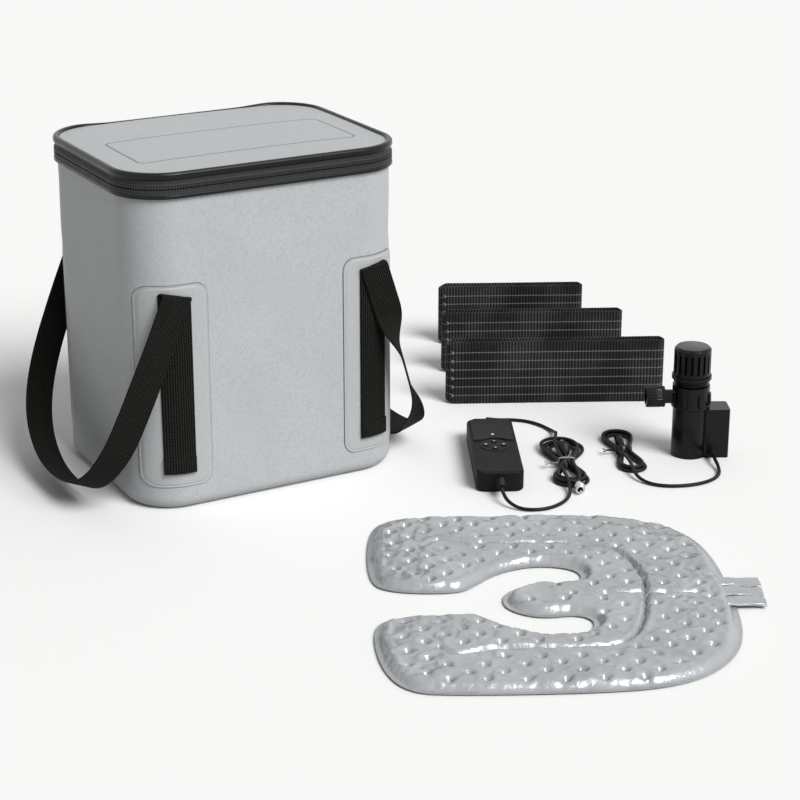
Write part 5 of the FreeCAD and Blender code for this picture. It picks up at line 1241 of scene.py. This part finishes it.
# The twist turns by this angle over its run, with its two strands this far off its middle.
TIE_TWIST, TIE_RUN, TIE_OFF = 3 * math.pi, 5.2, 0.55
# How high the strip lies under the waist, its corners' size, and half the twist's mouth.
TIE_LOW, TIE_BEND, TIE_MOUTH = 0.45, 1.5, 0.8


def twist_tie(name, node_name, middle, half, rise, place, body, material):
    """A strip from one loose end, in along the twist, up over the waist and back under it, and
    out along the twist again, as points with the strip's width direction at each."""
    swing = np.linspace(0, TIE_TWIST, 19)
    low, high = TIE_LOW, rise
    knot = np.array((-half - 0.4, 0, (low + high) / 2))
    out = 0.6 + TIE_RUN * swing / TIE_TWIST
    ways, paths = [], []
    for sign in (1, -1):
        turn = sign * math.pi / 2 + swing
        path = knot + np.stack([-out, TIE_OFF * np.cos(turn), TIE_OFF * np.sin(turn)], -1)
        end = path[-1] + np.array([(-1.6, sign * 0.5, sign * 0.3), (-3.4, sign * 1.5, sign * 0.7),
                                   (-5.4, sign * 2.9, sign * 0.9)])
        wide = sign * np.stack([0 * turn, np.sin(turn), -np.cos(turn)], -1)
        paths.append(np.concatenate([path, end]))
        ways.append(np.concatenate([wide * 0.7, np.repeat(wide[-1:] * 0.8, 3, axis=0)]))
    corners = [(-half, knot[2] + TIE_MOUTH), (-half, high - TIE_BEND), (TIE_BEND - half, high),
               (half - TIE_BEND, high), (half, high - TIE_BEND), (half, low + TIE_BEND),
               (half - TIE_BEND, low), (TIE_BEND - half, low), (-half, low + TIE_BEND),
               (-half, knot[2] - TIE_MOUTH)]
    wrap = smooth_path(corners, step=1.0)
    wrap = np.stack([wrap[:, 0], 0 * wrap[:, 0], wrap[:, 1]], -1)
    centre = np.concatenate([paths[0][::-1], wrap, paths[1]])
    wide = np.concatenate([ways[0][::-1], np.repeat([[0.0, 1.0, 0.0]], len(wrap), axis=0),
                           ways[1]])
    ahead = np.gradient(centre, axis=0)
    ahead /= np.linalg.norm(ahead, axis=1)[:, None]
    thick = np.cross(ahead, wide)
    turned_way = laid(wide, (0, 0)), laid(thick, (0, 0))
    centre = laid(centre + np.array([*middle, 0.0]), place)
    made = swept(name, centre, *turned_way, TIE_SECTION, material)
    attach(made, body)
    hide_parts(node_name)


twist_tie("lead_twist_tie", "lead_tie", WAIST, 7.0, 10.6, CONTROLLER_PLACE, "controller",
          moulded("plastic_coated_wire_grey", "#8F9293", "#A6A9AA", 0.4, 0.6, 0.4))

# ---------------------------------------------------------------- pump
# A small submersible pump: a potted motor with a squared side block, a volute with a side spout
# on top of it, and a slotted intake cap. All of it is glossy injection-moulded nylon.

PUMP_PLACE = (396, -16)
nylon = moulded("polished_moulded_nylon", "#0C0D0D", "#131414", 0.24, 0.6, 0.18)
softened("motor_housing", 0.6, nylon, "pump")
softened("volute_housing", 0.4, nylon, "pump")
softened("inlet_filter", 0.3, nylon, "filter_cap")


def pump_point(place):
    """A point given about the pump's own axis, where the pump stands on the floor."""
    return laid(place, PUMP_PLACE)


def pump_way(way):
    """A direction of the pump's own, turned as the pump is."""
    return laid(way, PUMP_PLACE) - laid((0, 0, 0), PUMP_PLACE)


# Clamp ring and its clips, which hold the volute down on the motor, and two rings round its neck,
# each with its height and radius.
CLAMP_HEIGHT = 44.4
NECK_RINGS = ((65.2, 14.6), (67.6, 15.6))
CLIP_TURNS = np.radians((200, 245, 290, 335, 20, 110))
CLIP_OUT, CLIP_HEIGHT, CLIP_HALF = 16.1, 47.0, 1.6
CLIP_SHAPE = np.array([(-0.6, 0), (1.1, 0.6), (1.5, 2), (1.5, 9), (0.9, 11.5), (-0.6, 12)])
ring = turned("clamp_ring", [(0, 15.2), (0, 16.2), (0.5, 16.7), (2.2, 16.7), (2.7, 16.2), (2.7, 15.2)],
              pump_point((0, 0, CLAMP_HEIGHT)), (0, 0, 1), nylon, sides=72)
neck_rings = [turned(f"neck_ring_{number}", [(0, 8.5), (0, out - 0.4), (0.4, out), (1.4, out),
                                             (1.8, out - 0.4), (1.8, 8.5)],
                     pump_point((0, 0, foot)), (0, 0, 1), nylon, sides=64)
              for number, (foot, out) in enumerate(NECK_RINGS)]
clips = []
for number, turn in enumerate(CLIP_TURNS):
    outward = np.array((math.cos(turn), math.sin(turn), 0))
    aside = np.array((-math.sin(turn), math.cos(turn), 0))
    middle = CLIP_OUT * outward + (0, 0, CLIP_HEIGHT)
    halves = [middle + CLIP_SHAPE[:, :1] * outward + CLIP_SHAPE[:, 1:] * (0, 0, 1) + aside * half
              for half in (-CLIP_HALF, CLIP_HALF)]
    points = pump_point(np.concatenate(halves))
    count = len(CLIP_SHAPE)
    faces = [list(range(count)), list(range(count, 2 * count))] + [
        [at, (at + 1) % count, count + (at + 1) % count, count + at] for at in range(count)]
    clips.append(new_piece(f"volute_clip_{number}", points, faces, nylon, crease=30))
for made in (ring, *neck_rings, *clips):
    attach(made, "pump")

# Inside the intake cap is a sleeve of near-black filter foam, which stands in for the shade
# inside the cap, so that the cap's slots show dark.
FOAM_FOOT, FOAM_RISE, FOAM_OUT, FOAM_IN = 75.3, 19.6, 12.6, 10.6
cap_shade_sleeve = turned("cap_shade_sleeve", [(0, FOAM_IN), (0, FOAM_OUT), (FOAM_RISE, FOAM_OUT),
                                     (FOAM_RISE, FOAM_IN), (0, FOAM_IN)],
                     pump_point((0, 0, FOAM_FOOT)), (0, 0, 1),
                     moulded("near_black_foam_as_shade", "#070707", "#131313", 0.85, 0.9, 1.0),
                     sides=48)
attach(cap_shade_sleeve, "filter_cap")

# The spout's nut: a short knurled sleeve with a flared lip.
NUT_PLACE = (-39, 0, 53)
NUT_RIBS = 22
nut = turned("outlet_nut_knurled", [(0, 6.4), (0, 8.2), (0.8, 8.75), (12.6, 8.75), (13.4, 8.4),
                                    (13.9, 8.75), (16, 8.75), (16, 6.4)],
             pump_point(NUT_PLACE), pump_way((1, 0, 0)), nylon, sides=NUT_RIBS * 6,
             wave=0.035, waves=NUT_RIBS, crease=45)
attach(nut, "spout_nut")
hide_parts("outlet_nut")

# Inside it: the can round the rotor, its wound core, a ceramic shaft, a nitrile ring under the
# volute, and a ferrite magnet with its moulded impeller.
repaint(("rotor_well",), nylon)
repaint(("stator",), moulded("enamelled_copper_winding", "#8A4A22", "#A9632F", 0.35, 0.5, 0.8, 0.8))
repaint(("rotor_shaft",), moulded("ground_ceramic", "#E2E2DE", "#EFEFEC", 0.25, 0.4, 0.1))
repaint(("volute_seal",), moulded("nitrile_rubber", "#101010", "#1A1A1A", 0.7, 0.4, 0.3))
repaint(("rotor_magnet",), moulded("sintered_ferrite", "#2B2C2D", "#3A3B3C", 0.5, 0.6, 0.4))
repaint(("impeller",), moulded("moulded_acetal_impeller", "#D9D9D4", "#E6E6E2", 0.4, 0.5, 0.2))

# ---------------------------------------------------------------- pump cable
# A thin round cable out of a gland in the side block, round on the floor and into a narrow
# hank with a tie at its waist. Its free end is a small moulded connector, held in the hank.

GLAND_PLACE = (18, -11, 6)
gland = turned("gland_boot", [(0, 0.2), (0, 3.4), (1.2, 3.4), (2.2, 2.9), (2.8, 3.1), (4.0, 3.0),
                              (4.6, 2.5), (5.4, 2.7), (6.6, 2.6), (7.2, 2.1), (9, 2.2), (9, 0.2)],
               pump_point(GLAND_PLACE), pump_way((0, -1, 0)), PVC_BLACK, sides=28, crease=50)
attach(gland, "pump")
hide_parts("cable_gland")
PUMP_ROUTE = ((18, -20, 6), (18, -29, 6), (19.5, -40, 3), (18, -53, LEAD_REST),
              (10, -65, LEAD_REST), (-3, -73.5, LEAD_REST), (-19, -77.5, LEAD_REST),
              (-34, -76.5, LEAD_REST), (-46, -70, 1.8), (-53, -60, 3.6), (-54.8, -50, 6.4),
              (-55.4, -42, 7.7), (-56.2, -32, 7.9), (-57.8, -22, 7.9), (-59.6, -13, 7.2),
              (-60.5, -6, 5.5))
PUMP_MIDDLE = np.array((-56.2, -1.0))
PUMP_WAIST = ((-4.4, 4.9), (4.5, 1.7), (-4.4, 1.7), (1.5, 1.7), (-1.5, 1.7), (4.4, 4.9),
              (-1.4, 5.0))
PUMP_LOBES = ((13, 47.5, -1.5, 4.6), (11.8, -43, 3.2, 1.7), (13.2, 48.3, -1.4, 1.7),
              (8.9, -39.6, 3.2, 1.7), (10.2, 44.5, -0.6, 1.7), (9.6, -40.5, 3.0, 4.6))
PUMP_TAIL = ((-57.6, 2, 5), (-57.6, 6, 5), (-57.5, 9, 5))
pump_points = np.concatenate([
    PUMP_ROUTE, hank_points(PUMP_WAIST, PUMP_LOBES, PUMP_MIDDLE), PUMP_TAIL])
pump_cord = new_cord("pump_cable_cord", pump_point(pump_points))
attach(pump_cord, "pump")
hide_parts("pump_cable", "pump_cable_hank")
end_plug = turned("pump_connector", [(0, 0.3), (0, 2.1), (3, 2.9), (3.6, 3.5), (5, 3.5), (5.5, 3.1),
                                     (6.5, 3.1), (7, 3.6), (18.5, 3.6), (19.2, 3.2), (19.2, 1.6),
                                     (15, 1.5)],
                  pump_point(PUMP_TAIL[-1]), pump_way((0, 1, 0)), PVC_BLACK, sides=28, crease=50)
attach(end_plug, "pump")
cord_length(pump_cord)
twist_tie("pump_twist_tie", "pump_cable_tie", PUMP_MIDDLE, 6.8, 8.6, PUMP_PLACE, "pump",
          moulded("plastic_coated_wire_black", "#0D0E0E", "#181919", 0.4, 0.6, 0.4))

# ---------------------------------------------------------------- water pad
# Two sheets of silver-grey TPU film, welded round their edge, in lines and in rows of dots, so
# that water runs between them. It lies flat on the floor, with its hose ports at the right.

PAD_PLACE = (246, -304)
PAD_WIDE, PAD_LONG, PAD_RISE = 270, 300, 9
# The grid's pitch, and the share of it within which a point is moved on to the edge.
PAD_GRID, EDGE_SNAP = 1.9, 0.71
FLANGE, FLANGE_HEIGHT, FILM = 5.0, 1.6, 0.45
DOT_PITCH, DOT_ROW, DOT_TOP, DOT_ROUND = 26.7, 11.3, 137.0, 1.9
DOT_ROWS, DOT_REACH, DOT_STRAY = 12, 6, (1.3, 1.2)
DOT_TO_EDGE, DOT_TO_LINE, LINE_HALF = 9.5, 6.5, 0.9
DOT_RUN, LINE_RUN, EDGE_RUN = 4.8, 4.2, 6.5
PAD_OUTLINE = ((-0.42, 0.5), (-0.49, 0.42), (-0.5, 0.11), (-0.44, 0.042), (-0.25, 0.03),
               (-0.2, 0.075), (-0.13, 0.15), (-0.02, 0.19), (0.085, 0.165), (0.105, 0.105),
               (0.06, 0.07), (-0.02, 0.085), (-0.075, 0.062), (-0.13, 0.02), (-0.135, -0.05),
               (-0.085, -0.098), (-0.02, -0.115), (0.06, -0.1), (0.105, -0.135), (0.085, -0.2),
               (-0.02, -0.215), (-0.13, -0.17), (-0.2, -0.1), (-0.25, -0.095), (-0.44, -0.1),
               (-0.495, -0.16), (-0.48, -0.36), (-0.42, -0.48), (-0.3, -0.5), (0.13, -0.5),
               (0.31, -0.46), (0.43, -0.36), (0.49, -0.22), (0.5, 0.0), (0.49, 0.22),
               (0.45, 0.36), (0.36, 0.45), (0.2, 0.495), (0.0, 0.5))
# Weld lines inside the edge, in millimetres from the pad's middle: the channel that follows the
# outside of the C, and the short one from its middle to the ports.
CHANNEL = ((-88, 88), (-84, 95), (-78, 99), (-60, 94), (-40, 90), (-11, 89), (30, 89), (54, 78),
           (66, 59), (71, 35), (72, 12), (68, -20), (63, -45), (55, -68), (42, -86), (8, -90),
           (-31, -90), (-55, -90), (-72, -97), (-80, -96), (-88, -86))
PORT_LINE = ((40, -3), (66, -3), (85, -3), (109, -3))
PORT_DOTS = ((15, -3), (40, -3), (85, -3), (109, -3))
CURVE_POINTS = 6


def closed_curve(corners):
    """A closed curve of parabolas between the middles of the runs of its corners."""
    corners = np.asarray(corners, float)
    middles = (corners + np.roll(corners, -1, axis=0)) / 2
    ahead = np.roll(corners, -1, axis=0)
    share = (np.arange(CURVE_POINTS) / CURVE_POINTS)[None, :, None]
    bends = ((1 - share) ** 2 * middles[:, None] + 2 * share * (1 - share) * ahead[:, None]
             + share ** 2 * np.roll(middles, -1, axis=0)[:, None])
    return bends.reshape(-1, 2)


def nearest(points, line, closed):
    """Each point's distance to a line of points, and the place on the line that is nearest."""
    start = line if closed else line[:-1]
    run = (np.roll(line, -1, axis=0) if closed else line[1:]) - start
    best = np.full(len(points), 1e9)
    place = points.copy()
    for at in range(len(start)):
        share = np.clip(((points - start[at]) @ run[at]) / (run[at] @ run[at]), 0, 1)
        spot = start[at] + share[:, None] * run[at]
        far = np.linalg.norm(points - spot, axis=1)
        closer = far < best
        best[closer] = far[closer]
        place[closer] = spot[closer]
    return best, place


def within(points, line):
    """Whether each point is inside a closed line, by the turns that the line makes round it."""
    ahead = np.roll(line, -1, axis=0)
    above = line[None, :, 1] > points[:, None, 1]
    next_above = ahead[None, :, 1] > points[:, None, 1]
    cut = (ahead[:, 0] - line[:, 0]) * (points[:, None, 1] - line[:, 1]) / (
        ahead[:, 1] - line[:, 1] + 1e-12) + line[:, 0]
    return ((above != next_above) & (points[:, None, 0] < cut)).sum(axis=1) % 2 == 1


edge_line = closed_curve(np.array(PAD_OUTLINE) * (PAD_WIDE, PAD_LONG))
columns = int(PAD_WIDE / PAD_GRID) + 3
rows = int(PAD_LONG / PAD_GRID) + 3
plan = np.stack(np.meshgrid((np.arange(columns) - columns // 2) * PAD_GRID,
                            (np.arange(rows) - rows // 2) * PAD_GRID), -1).reshape(-1, 2)
edge_far, edge_place = nearest(plan, edge_line, True)
inside = within(plan, edge_line)
snapped = edge_far < EDGE_SNAP * PAD_GRID
plan[snapped] = edge_place[snapped]
edge_far[snapped] = 0
cells = quads(rows, columns)
cells = cells[(inside | snapped)[cells].all(axis=1)]
used, cells = np.unique(cells, return_inverse=True)
cells = cells.reshape(-1, 4)
plan, edge_far = plan[used], edge_far[used]

# Distance from every weld: the flange, the channel lines, and dots in staggered rows that run
# in from both long edges, each a little off its place.
channel, port_line = smooth_path(CHANNEL, 3.0), smooth_path(PORT_LINE, 3.0)
channel_far = nearest(plan, channel, False)[0]
port_far = nearest(plan, port_line, False)[0]
row, at = np.meshgrid(np.arange(DOT_ROWS), np.arange(-DOT_REACH, DOT_REACH + 1), indexing="ij")
dots = np.stack([(at + 0.5 * (row % 2)) * DOT_PITCH - 8
                 + DOT_STRAY[0] * np.sin(5.1 * row + 3.3 * at),
                 DOT_TOP - row * DOT_ROW + DOT_STRAY[1] * np.cos(4.3 * row + 7.7 * at)],
                -1).reshape(-1, 2)
dots = np.concatenate([dots, dots * (1, -1) + (4, 0)])
clear_line = np.minimum(nearest(dots, channel, False)[0], nearest(dots, port_line, False)[0])
dots = dots[within(dots, edge_line) & (nearest(dots, edge_line, True)[0] > DOT_TO_EDGE)
            & (clear_line > DOT_TO_LINE)]
dots = np.concatenate([dots, PORT_DOTS])
dot_far = np.full(len(plan), 1e9)
for spot in dots:
    dot_far = np.minimum(dot_far, np.linalg.norm(plan - spot, axis=1) - DOT_ROUND)
line_far = np.minimum(channel_far, port_far) - LINE_HALF


def bulge(far, run):
    """How far the film has risen at a distance from a weld: a quarter of a round, then flat."""
    return np.sqrt(1 - (1 - np.clip(far / run, 0, 1)) ** 2)


puff = bulge(dot_far, DOT_RUN) * bulge(line_far, LINE_RUN) * bulge(edge_far - FLANGE, EDGE_RUN)
sag = 0.06 * np.sin(plan[:, 0] * 0.05) * np.sin(plan[:, 1] * 0.043 + 1)
top = FLANGE_HEIGHT + FILM / 2 + (PAD_RISE - FLANGE_HEIGHT - 1.2) * puff * (0.94 + sag)
bottom = FLANGE_HEIGHT - FILM / 2 - (FLANGE_HEIGHT - FILM / 2) * np.clip(puff * 1.6, 0, 1)
FILM_SPARE, FILM_PRESSURE, FILM_FRAMES, FILM_CAP = 0.04, 4.0, 20, 1.8


def pressed(plan, top, faces, held):
    """The upper film after water pressure has worked on it: a cloth pinned at its welds, a little
    larger than its place, so that it creases. No point moves further than the cap."""
    shape = np.column_stack([plan, top]) * PER_MM
    mesh = bpy.data.meshes.new("pressed_film")
    mesh.from_pydata(shape.tolist(), [], faces.tolist())
    sheet = bpy.data.objects.new("pressed_film", mesh)
    scene.collection.objects.link(sheet)
    group = sheet.vertex_groups.new(name="welded")
    group.add(np.nonzero(held)[0].tolist(), 1.0, "REPLACE")
    cloth = sheet.modifiers.new("film", "CLOTH")
    setting = cloth.settings
    setting.vertex_group_mass = "welded"
    setting.quality = 6
    setting.mass = 0.02
    setting.tension_stiffness = setting.compression_stiffness = 60
    setting.shear_stiffness = 30
    setting.bending_stiffness = 0.02
    setting.shrink_min = -FILM_SPARE
    setting.use_pressure = True
    setting.uniform_pressure_force = FILM_PRESSURE
    setting.effector_weights.gravity = 0
    cloth.collision_settings.use_collision = False
    cloth.point_cache.frame_start = 1
    cloth.point_cache.frame_end = FILM_FRAMES
    for frame_number in range(1, FILM_FRAMES + 1):
        scene.frame_set(frame_number)
    graph = bpy.context.evaluated_depsgraph_get()
    done = sheet.evaluated_get(graph).to_mesh()
    after = np.zeros(len(plan) * 3)
    done.vertices.foreach_get("co", after)
    sheet.evaluated_get(graph).to_mesh_clear()
    scene.frame_set(1)
    bpy.data.objects.remove(sheet)
    bpy.data.meshes.remove(mesh)
    move = (after.reshape(-1, 3) - shape) / PER_MM
    move *= np.minimum(1, FILM_CAP / np.maximum(np.linalg.norm(move, axis=1)[:, None], 1e-6))
    beside = np.concatenate([faces[:, (at, (at + 1) % 4)] for at in range(4)])
    count = np.bincount(beside.ravel(), minlength=len(plan))[:, None]
    around = np.stack([np.bincount(beside[:, 0], move[beside[:, 1], axis], len(plan))
                       + np.bincount(beside[:, 1], move[beside[:, 0], axis], len(plan))
                       for axis in range(3)], -1)
    move = np.where(held[:, None], 0, 0.5 * move + 0.5 * around / count)
    return shape / PER_MM + move


upper = np.column_stack([plan, top])
upper = pressed(plan, top, cells, puff < 0.02)
both = np.concatenate([upper, np.column_stack([plan, bottom])])
all_cells = np.concatenate([cells, cells[:, ::-1] + len(plan)])
# The rim: edges that only one cell has are joined from the upper sheet to the lower one.
sides = np.stack([cells, np.roll(cells, -1, axis=1)], -1).reshape(-1, 2)
key = np.sort(sides, axis=1) @ np.array([len(plan), 1])
once = np.unique(key, return_counts=True)
rim = sides[np.isin(key, once[0][once[1] == 1])]
rim_faces = np.stack([rim[:, 1], rim[:, 0], rim[:, 0] + len(plan), rim[:, 1] + len(plan)], -1)

# Silver-grey TPU film: satin and a little milky, lighter and darker in slow clouds.
film, tree, shader, place = new_material("silver_tpu_film", "#AAAEB0", 0.34, Metallic=0.3, Coat_Weight=0.15,
                                         Coat_Roughness=0.2)
cloud = node(tree, "ShaderNodeTexNoise", {"Vector": place["Object"], "Scale": 24.0, "Detail": 4.0})
crease = node(tree, "ShaderNodeTexNoise", {"Vector": place["Object"], "Scale": 160.0, "Detail": 3.0,
                                           "Distortion": 1.2})
tone = node(tree, "ShaderNodeMix", {0: cloud.outputs["Fac"], 6: linear("#989C9E"), 7: linear("#BCC0C2")},
            data_type="RGBA")
gloss = node(tree, "ShaderNodeMapRange", {"Value": cloud.outputs["Fac"], "To Min": 0.22, "To Max": 0.38})
bump = node(tree, "ShaderNodeBump", {"Height": crease.outputs["Fac"], "Strength": 0.35, "Distance": 0.0012})
feed(shader, Base_Color=tone.outputs[2], Roughness=gloss.outputs[0], Normal=bump.outputs[0])
water_pad = new_piece("welded_water_pad", laid(both, PAD_PLACE), np.concatenate([all_cells, rim_faces]),
                      film, crease=70)
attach(water_pad, "pad")
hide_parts("pad_chamber")

# ---------------------------------------------------------------- hose sleeves
# Three short tubes of the same film, welded in at the pad's edge for the hoses. They are empty,
# so they lie flattened and crumpled.

SLEEVE_START, SLEEVE_END, SLEEVE_PITCH = 119.0, 157.0, 16.5
SLEEVE_HALF, SLEEVE_RISE = 7.4, 2.3
SLEEVE_RINGS, SLEEVE_SIDES = 30, 48
for number in range(3):
    run = np.linspace(0, 1, SLEEVE_RINGS)[:, None]
    swing = np.linspace(0, 2 * math.pi, SLEEVE_SIDES + 1)[None, :-1]
    along = SLEEVE_START + (SLEEVE_END - SLEEVE_START) * run + (number - 1) * 1.2 * run
    crumple = (0.34 * np.sin(3 * swing + 9 * run + 2.1 * number)
               + 0.22 * np.sin(7 * swing - 14 * run + number) * np.sin(11 * run + 3 * number))
    half = SLEEVE_HALF * (0.9 + 0.1 * run) + crumple * (0.3 + run)
    rise = SLEEVE_RISE * (0.7 + 0.3 * np.sin(2.6 * run + 0.9 * number)) + crumple * 0.8
    lift = FLANGE_HEIGHT + 2.9 - 1.2 * run + 0 * swing
    flat = np.sign(np.cos(swing)) * np.abs(np.cos(swing)) ** 0.8
    points = np.stack([along + 0 * swing, (number - 1) * SLEEVE_PITCH + half * flat,
                       np.maximum(lift + rise * np.sin(swing), 0.5)], -1)
    sleeve = new_piece(f"hose_sleeve_{number}", laid(points, PAD_PLACE),
                       quads(SLEEVE_RINGS, SLEEVE_SIDES, round_columns=True), film, crease=60)
    thicken(sleeve, FILM)
    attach(sleeve, "pad")
    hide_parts("pad_hose_sleeves")

# ---------------------------------------------------------------- elastic bands
# Three loops of black knitted elastic, sewn into rings and folded flat, that hold the pad on a
# limb. They stand on edge in a row, from the longest in front to the shortest behind.

BAND_HEIGHT, BAND_FOLD, BAND_WALL, BAND_BOW, BAND_COLUMNS = 60, 13, 2.2, 0.8, 360
BANDS = {"small": (143, (268, 296)), "medium": (173, (281, 210)), "large": (201, (294, 122))}
BAND_RIB, BAND_LINE, FIRST_LINE, LINE_COUNT = 2.9, 8.27, 8.4, 6
SEAM_PLACE = 4.6
STITCH_RINGS, STITCH_SIDES, STITCH_ROUND = 7, 8, 0.38

# Knitted elastic: dull black, ribbed across its width by the rubber cords inside it, with six
# grey guide threads run along it that show as dashes. The ribs' tops are painted lighter as
# sheen, brighter in slow patches.
elastic, tree, shader, place = new_material("knitted_elastic", "#0E0F0F", 0.7, Specular_IOR_Level=0.15)
courses = node(tree, "ShaderNodeTexWave", {"Vector": place["UV"], "Distortion": 0.5, "Detail": 1.0,
                                           "Scale": WAVE / (BAND_RIB * PER_MM)}, bands_direction="X")
threads = node(tree, "ShaderNodeTexWave", {"Vector": place["UV"], "Distortion": 0.12,
                                           "Phase Offset": math.pi * (1 - 2 * FIRST_LINE / BAND_LINE),
                                           "Scale": WAVE / (BAND_LINE * PER_MM)},
               bands_direction="Y")
guide = node(tree, "ShaderNodeMapRange", {"Value": threads.outputs["Fac"], "From Min": 0.95,
                                          "From Max": 0.99})
parts = node(tree, "ShaderNodeSeparateXYZ", {0: place["UV"]})
middle_line = FIRST_LINE + BAND_LINE * (LINE_COUNT - 1) / 2
among = node(tree, "ShaderNodeMath", {0: parts.outputs[1], 1: middle_line * PER_MM,
                                      2: BAND_LINE * LINE_COUNT / 2 * PER_MM}, operation="COMPARE")
guide = node(tree, "ShaderNodeMath", {0: guide.outputs[0], 1: among.outputs[0]}, operation="MULTIPLY")
dashes = node(tree, "ShaderNodeMapRange", {"Value": courses.outputs["Fac"], "To Min": 0.35})
dashed = node(tree, "ShaderNodeMath", {0: guide.outputs[0], 1: dashes.outputs[0]}, operation="MULTIPLY")
wool = node(tree, "ShaderNodeTexNoise", {"Vector": place["Object"], "Scale": 900.0})
pull = node(tree, "ShaderNodeTexNoise", {"Vector": place["Object"], "Scale": 22.0})
knit = node(tree, "ShaderNodeMath", {0: courses.outputs["Fac"], 1: wool.outputs["Fac"]},
            operation="MULTIPLY")
# Painted sheen: the ribs' lighter tone is raised and lowered in slow patches.
shine = node(tree, "ShaderNodeMapRange", {"Value": pull.outputs["Fac"], "From Min": 0.4, "From Max": 0.62,
                                          "To Min": 0.45, "To Max": 1.5})
shown = node(tree, "ShaderNodeMath", {0: knit.outputs[0], 1: shine.outputs[0]}, operation="MULTIPLY")
tone = node(tree, "ShaderNodeMix", {0: shown.outputs[0], 6: linear("#060606"), 7: linear("#565755")},
            data_type="RGBA")
tone = node(tree, "ShaderNodeMix", {0: dashed.outputs[0], 6: tone.outputs[2], 7: linear("#7E807B")},
            data_type="RGBA")
bump = node(tree, "ShaderNodeBump", {"Height": knit.outputs[0], "Strength": 0.8, "Distance": 0.0006})
feed(shader, Base_Color=tone.outputs[2], Normal=bump.outputs[0])
thread_grey = moulded("bonded_polyester_thread", "#8D8F8B", "#A9ABA6", 0.6, 0.2, 0.5)


def stitch(start, end, lift):
    """A short thread between two points of a flat face, humped over the cloth in its middle."""
    start, end = np.asarray(start, float), np.asarray(end, float)
    share = np.linspace(0, 1, STITCH_RINGS)[:, None]
    middle = start + (end - start) * share + lift * np.sin(math.pi * share)
    way = (end - start) / np.linalg.norm(end - start)
    up = lift / np.linalg.norm(lift)
    aside = np.cross(way, up)
    swing = np.arange(STITCH_SIDES) * 2 * math.pi / STITCH_SIDES
    thin = STITCH_ROUND * np.sqrt(np.clip(1 - (2 * share - 1) ** 4, 0.02, 1))
    return (middle[:, None] + thin[:, None] * (np.cos(swing)[None, :, None] * aside
                                               + np.sin(swing)[None, :, None] * up))


for word, (length, band_place) in BANDS.items():
    half = length / 2
    bend = BAND_FOLD / 2 - 0.05
    girth_all = 2 * (length + BAND_FOLD) - 8 * bend + 2 * math.pi * bend
    run, normals = outline(half, BAND_FOLD / 2, bend,
                           np.linspace(0, girth_all, BAND_COLUMNS + 1)[:-1])
    girth = np.append(0, np.cumsum(np.linalg.norm(np.roll(run, -1, axis=0) - run, axis=1)))
    run = np.concatenate([run, run[:1]])
    normals = np.concatenate([normals, normals[:1]])
    bow = BAND_BOW * np.sin(math.pi * np.clip((run[:, 0] + half) / length, 0, 1)) ** 0.5
    in_way = np.sign(run[:, 1]) * -bow
    pinch = (1 - 0.09 * smooth_step(0, 9, 9 - half - run[:, 0])
             - 0.03 * smooth_step(0, 4, run[:, 0] - half + 4))
    section = rounded_section(-BAND_WALL, 0, 0, BAND_HEIGHT, 0.9, 4)
    rib = 0.16 * np.cos(2 * math.pi * girth / BAND_RIB)
    off = section[None, :, 0] + rib[:, None]
    height = BAND_HEIGHT / 2 + (section[None, :, 1] - BAND_HEIGHT / 2) * pinch[:, None]
    points = np.stack([run[:, None, 0] + normals[:, None, 0] * off,
                       run[:, None, 1] + normals[:, None, 1] * off + in_way[:, None], height], -1)
    uv = np.stack(np.broadcast_arrays(girth[:, None], section[None, :, 1]), -1)
    loop = new_piece(f"elastic_loop_{word}", laid(points, band_place),
                     quads(len(run), len(section), round_columns=True), elastic, uv=uv, crease=50)
    # The seam that closes the ring: a row of slanted stitches beside each end of the guide lines.
    seam = []
    for line in FIRST_LINE + BAND_LINE * np.arange(LINE_COUNT):
        for foot, head, rise in ((0, 2.2, 1.6), (0.2, 2.6, -1.6)):
            place_x = SEAM_PLACE - half
            start = (place_x + foot, -BAND_FOLD / 2 + 0.35, line + rise)
            end = (place_x + head, -BAND_FOLD / 2 + 0.4, line)
            seam.append(stitch(start, end, np.array((0, -0.35, 0))))
    faces = quads(STITCH_RINGS, STITCH_SIDES, round_columns=True)
    faces = np.concatenate([faces + STITCH_RINGS * STITCH_SIDES * number
                            for number in range(len(seam))])
    stitches = new_piece(f"seam_stitches_{word}", laid(np.array(seam), band_place), faces, thread_grey,
                         crease=60)
    for made in (loop, stitches):
        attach(made, word + "_band")
    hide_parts("elastic_band_" + word)
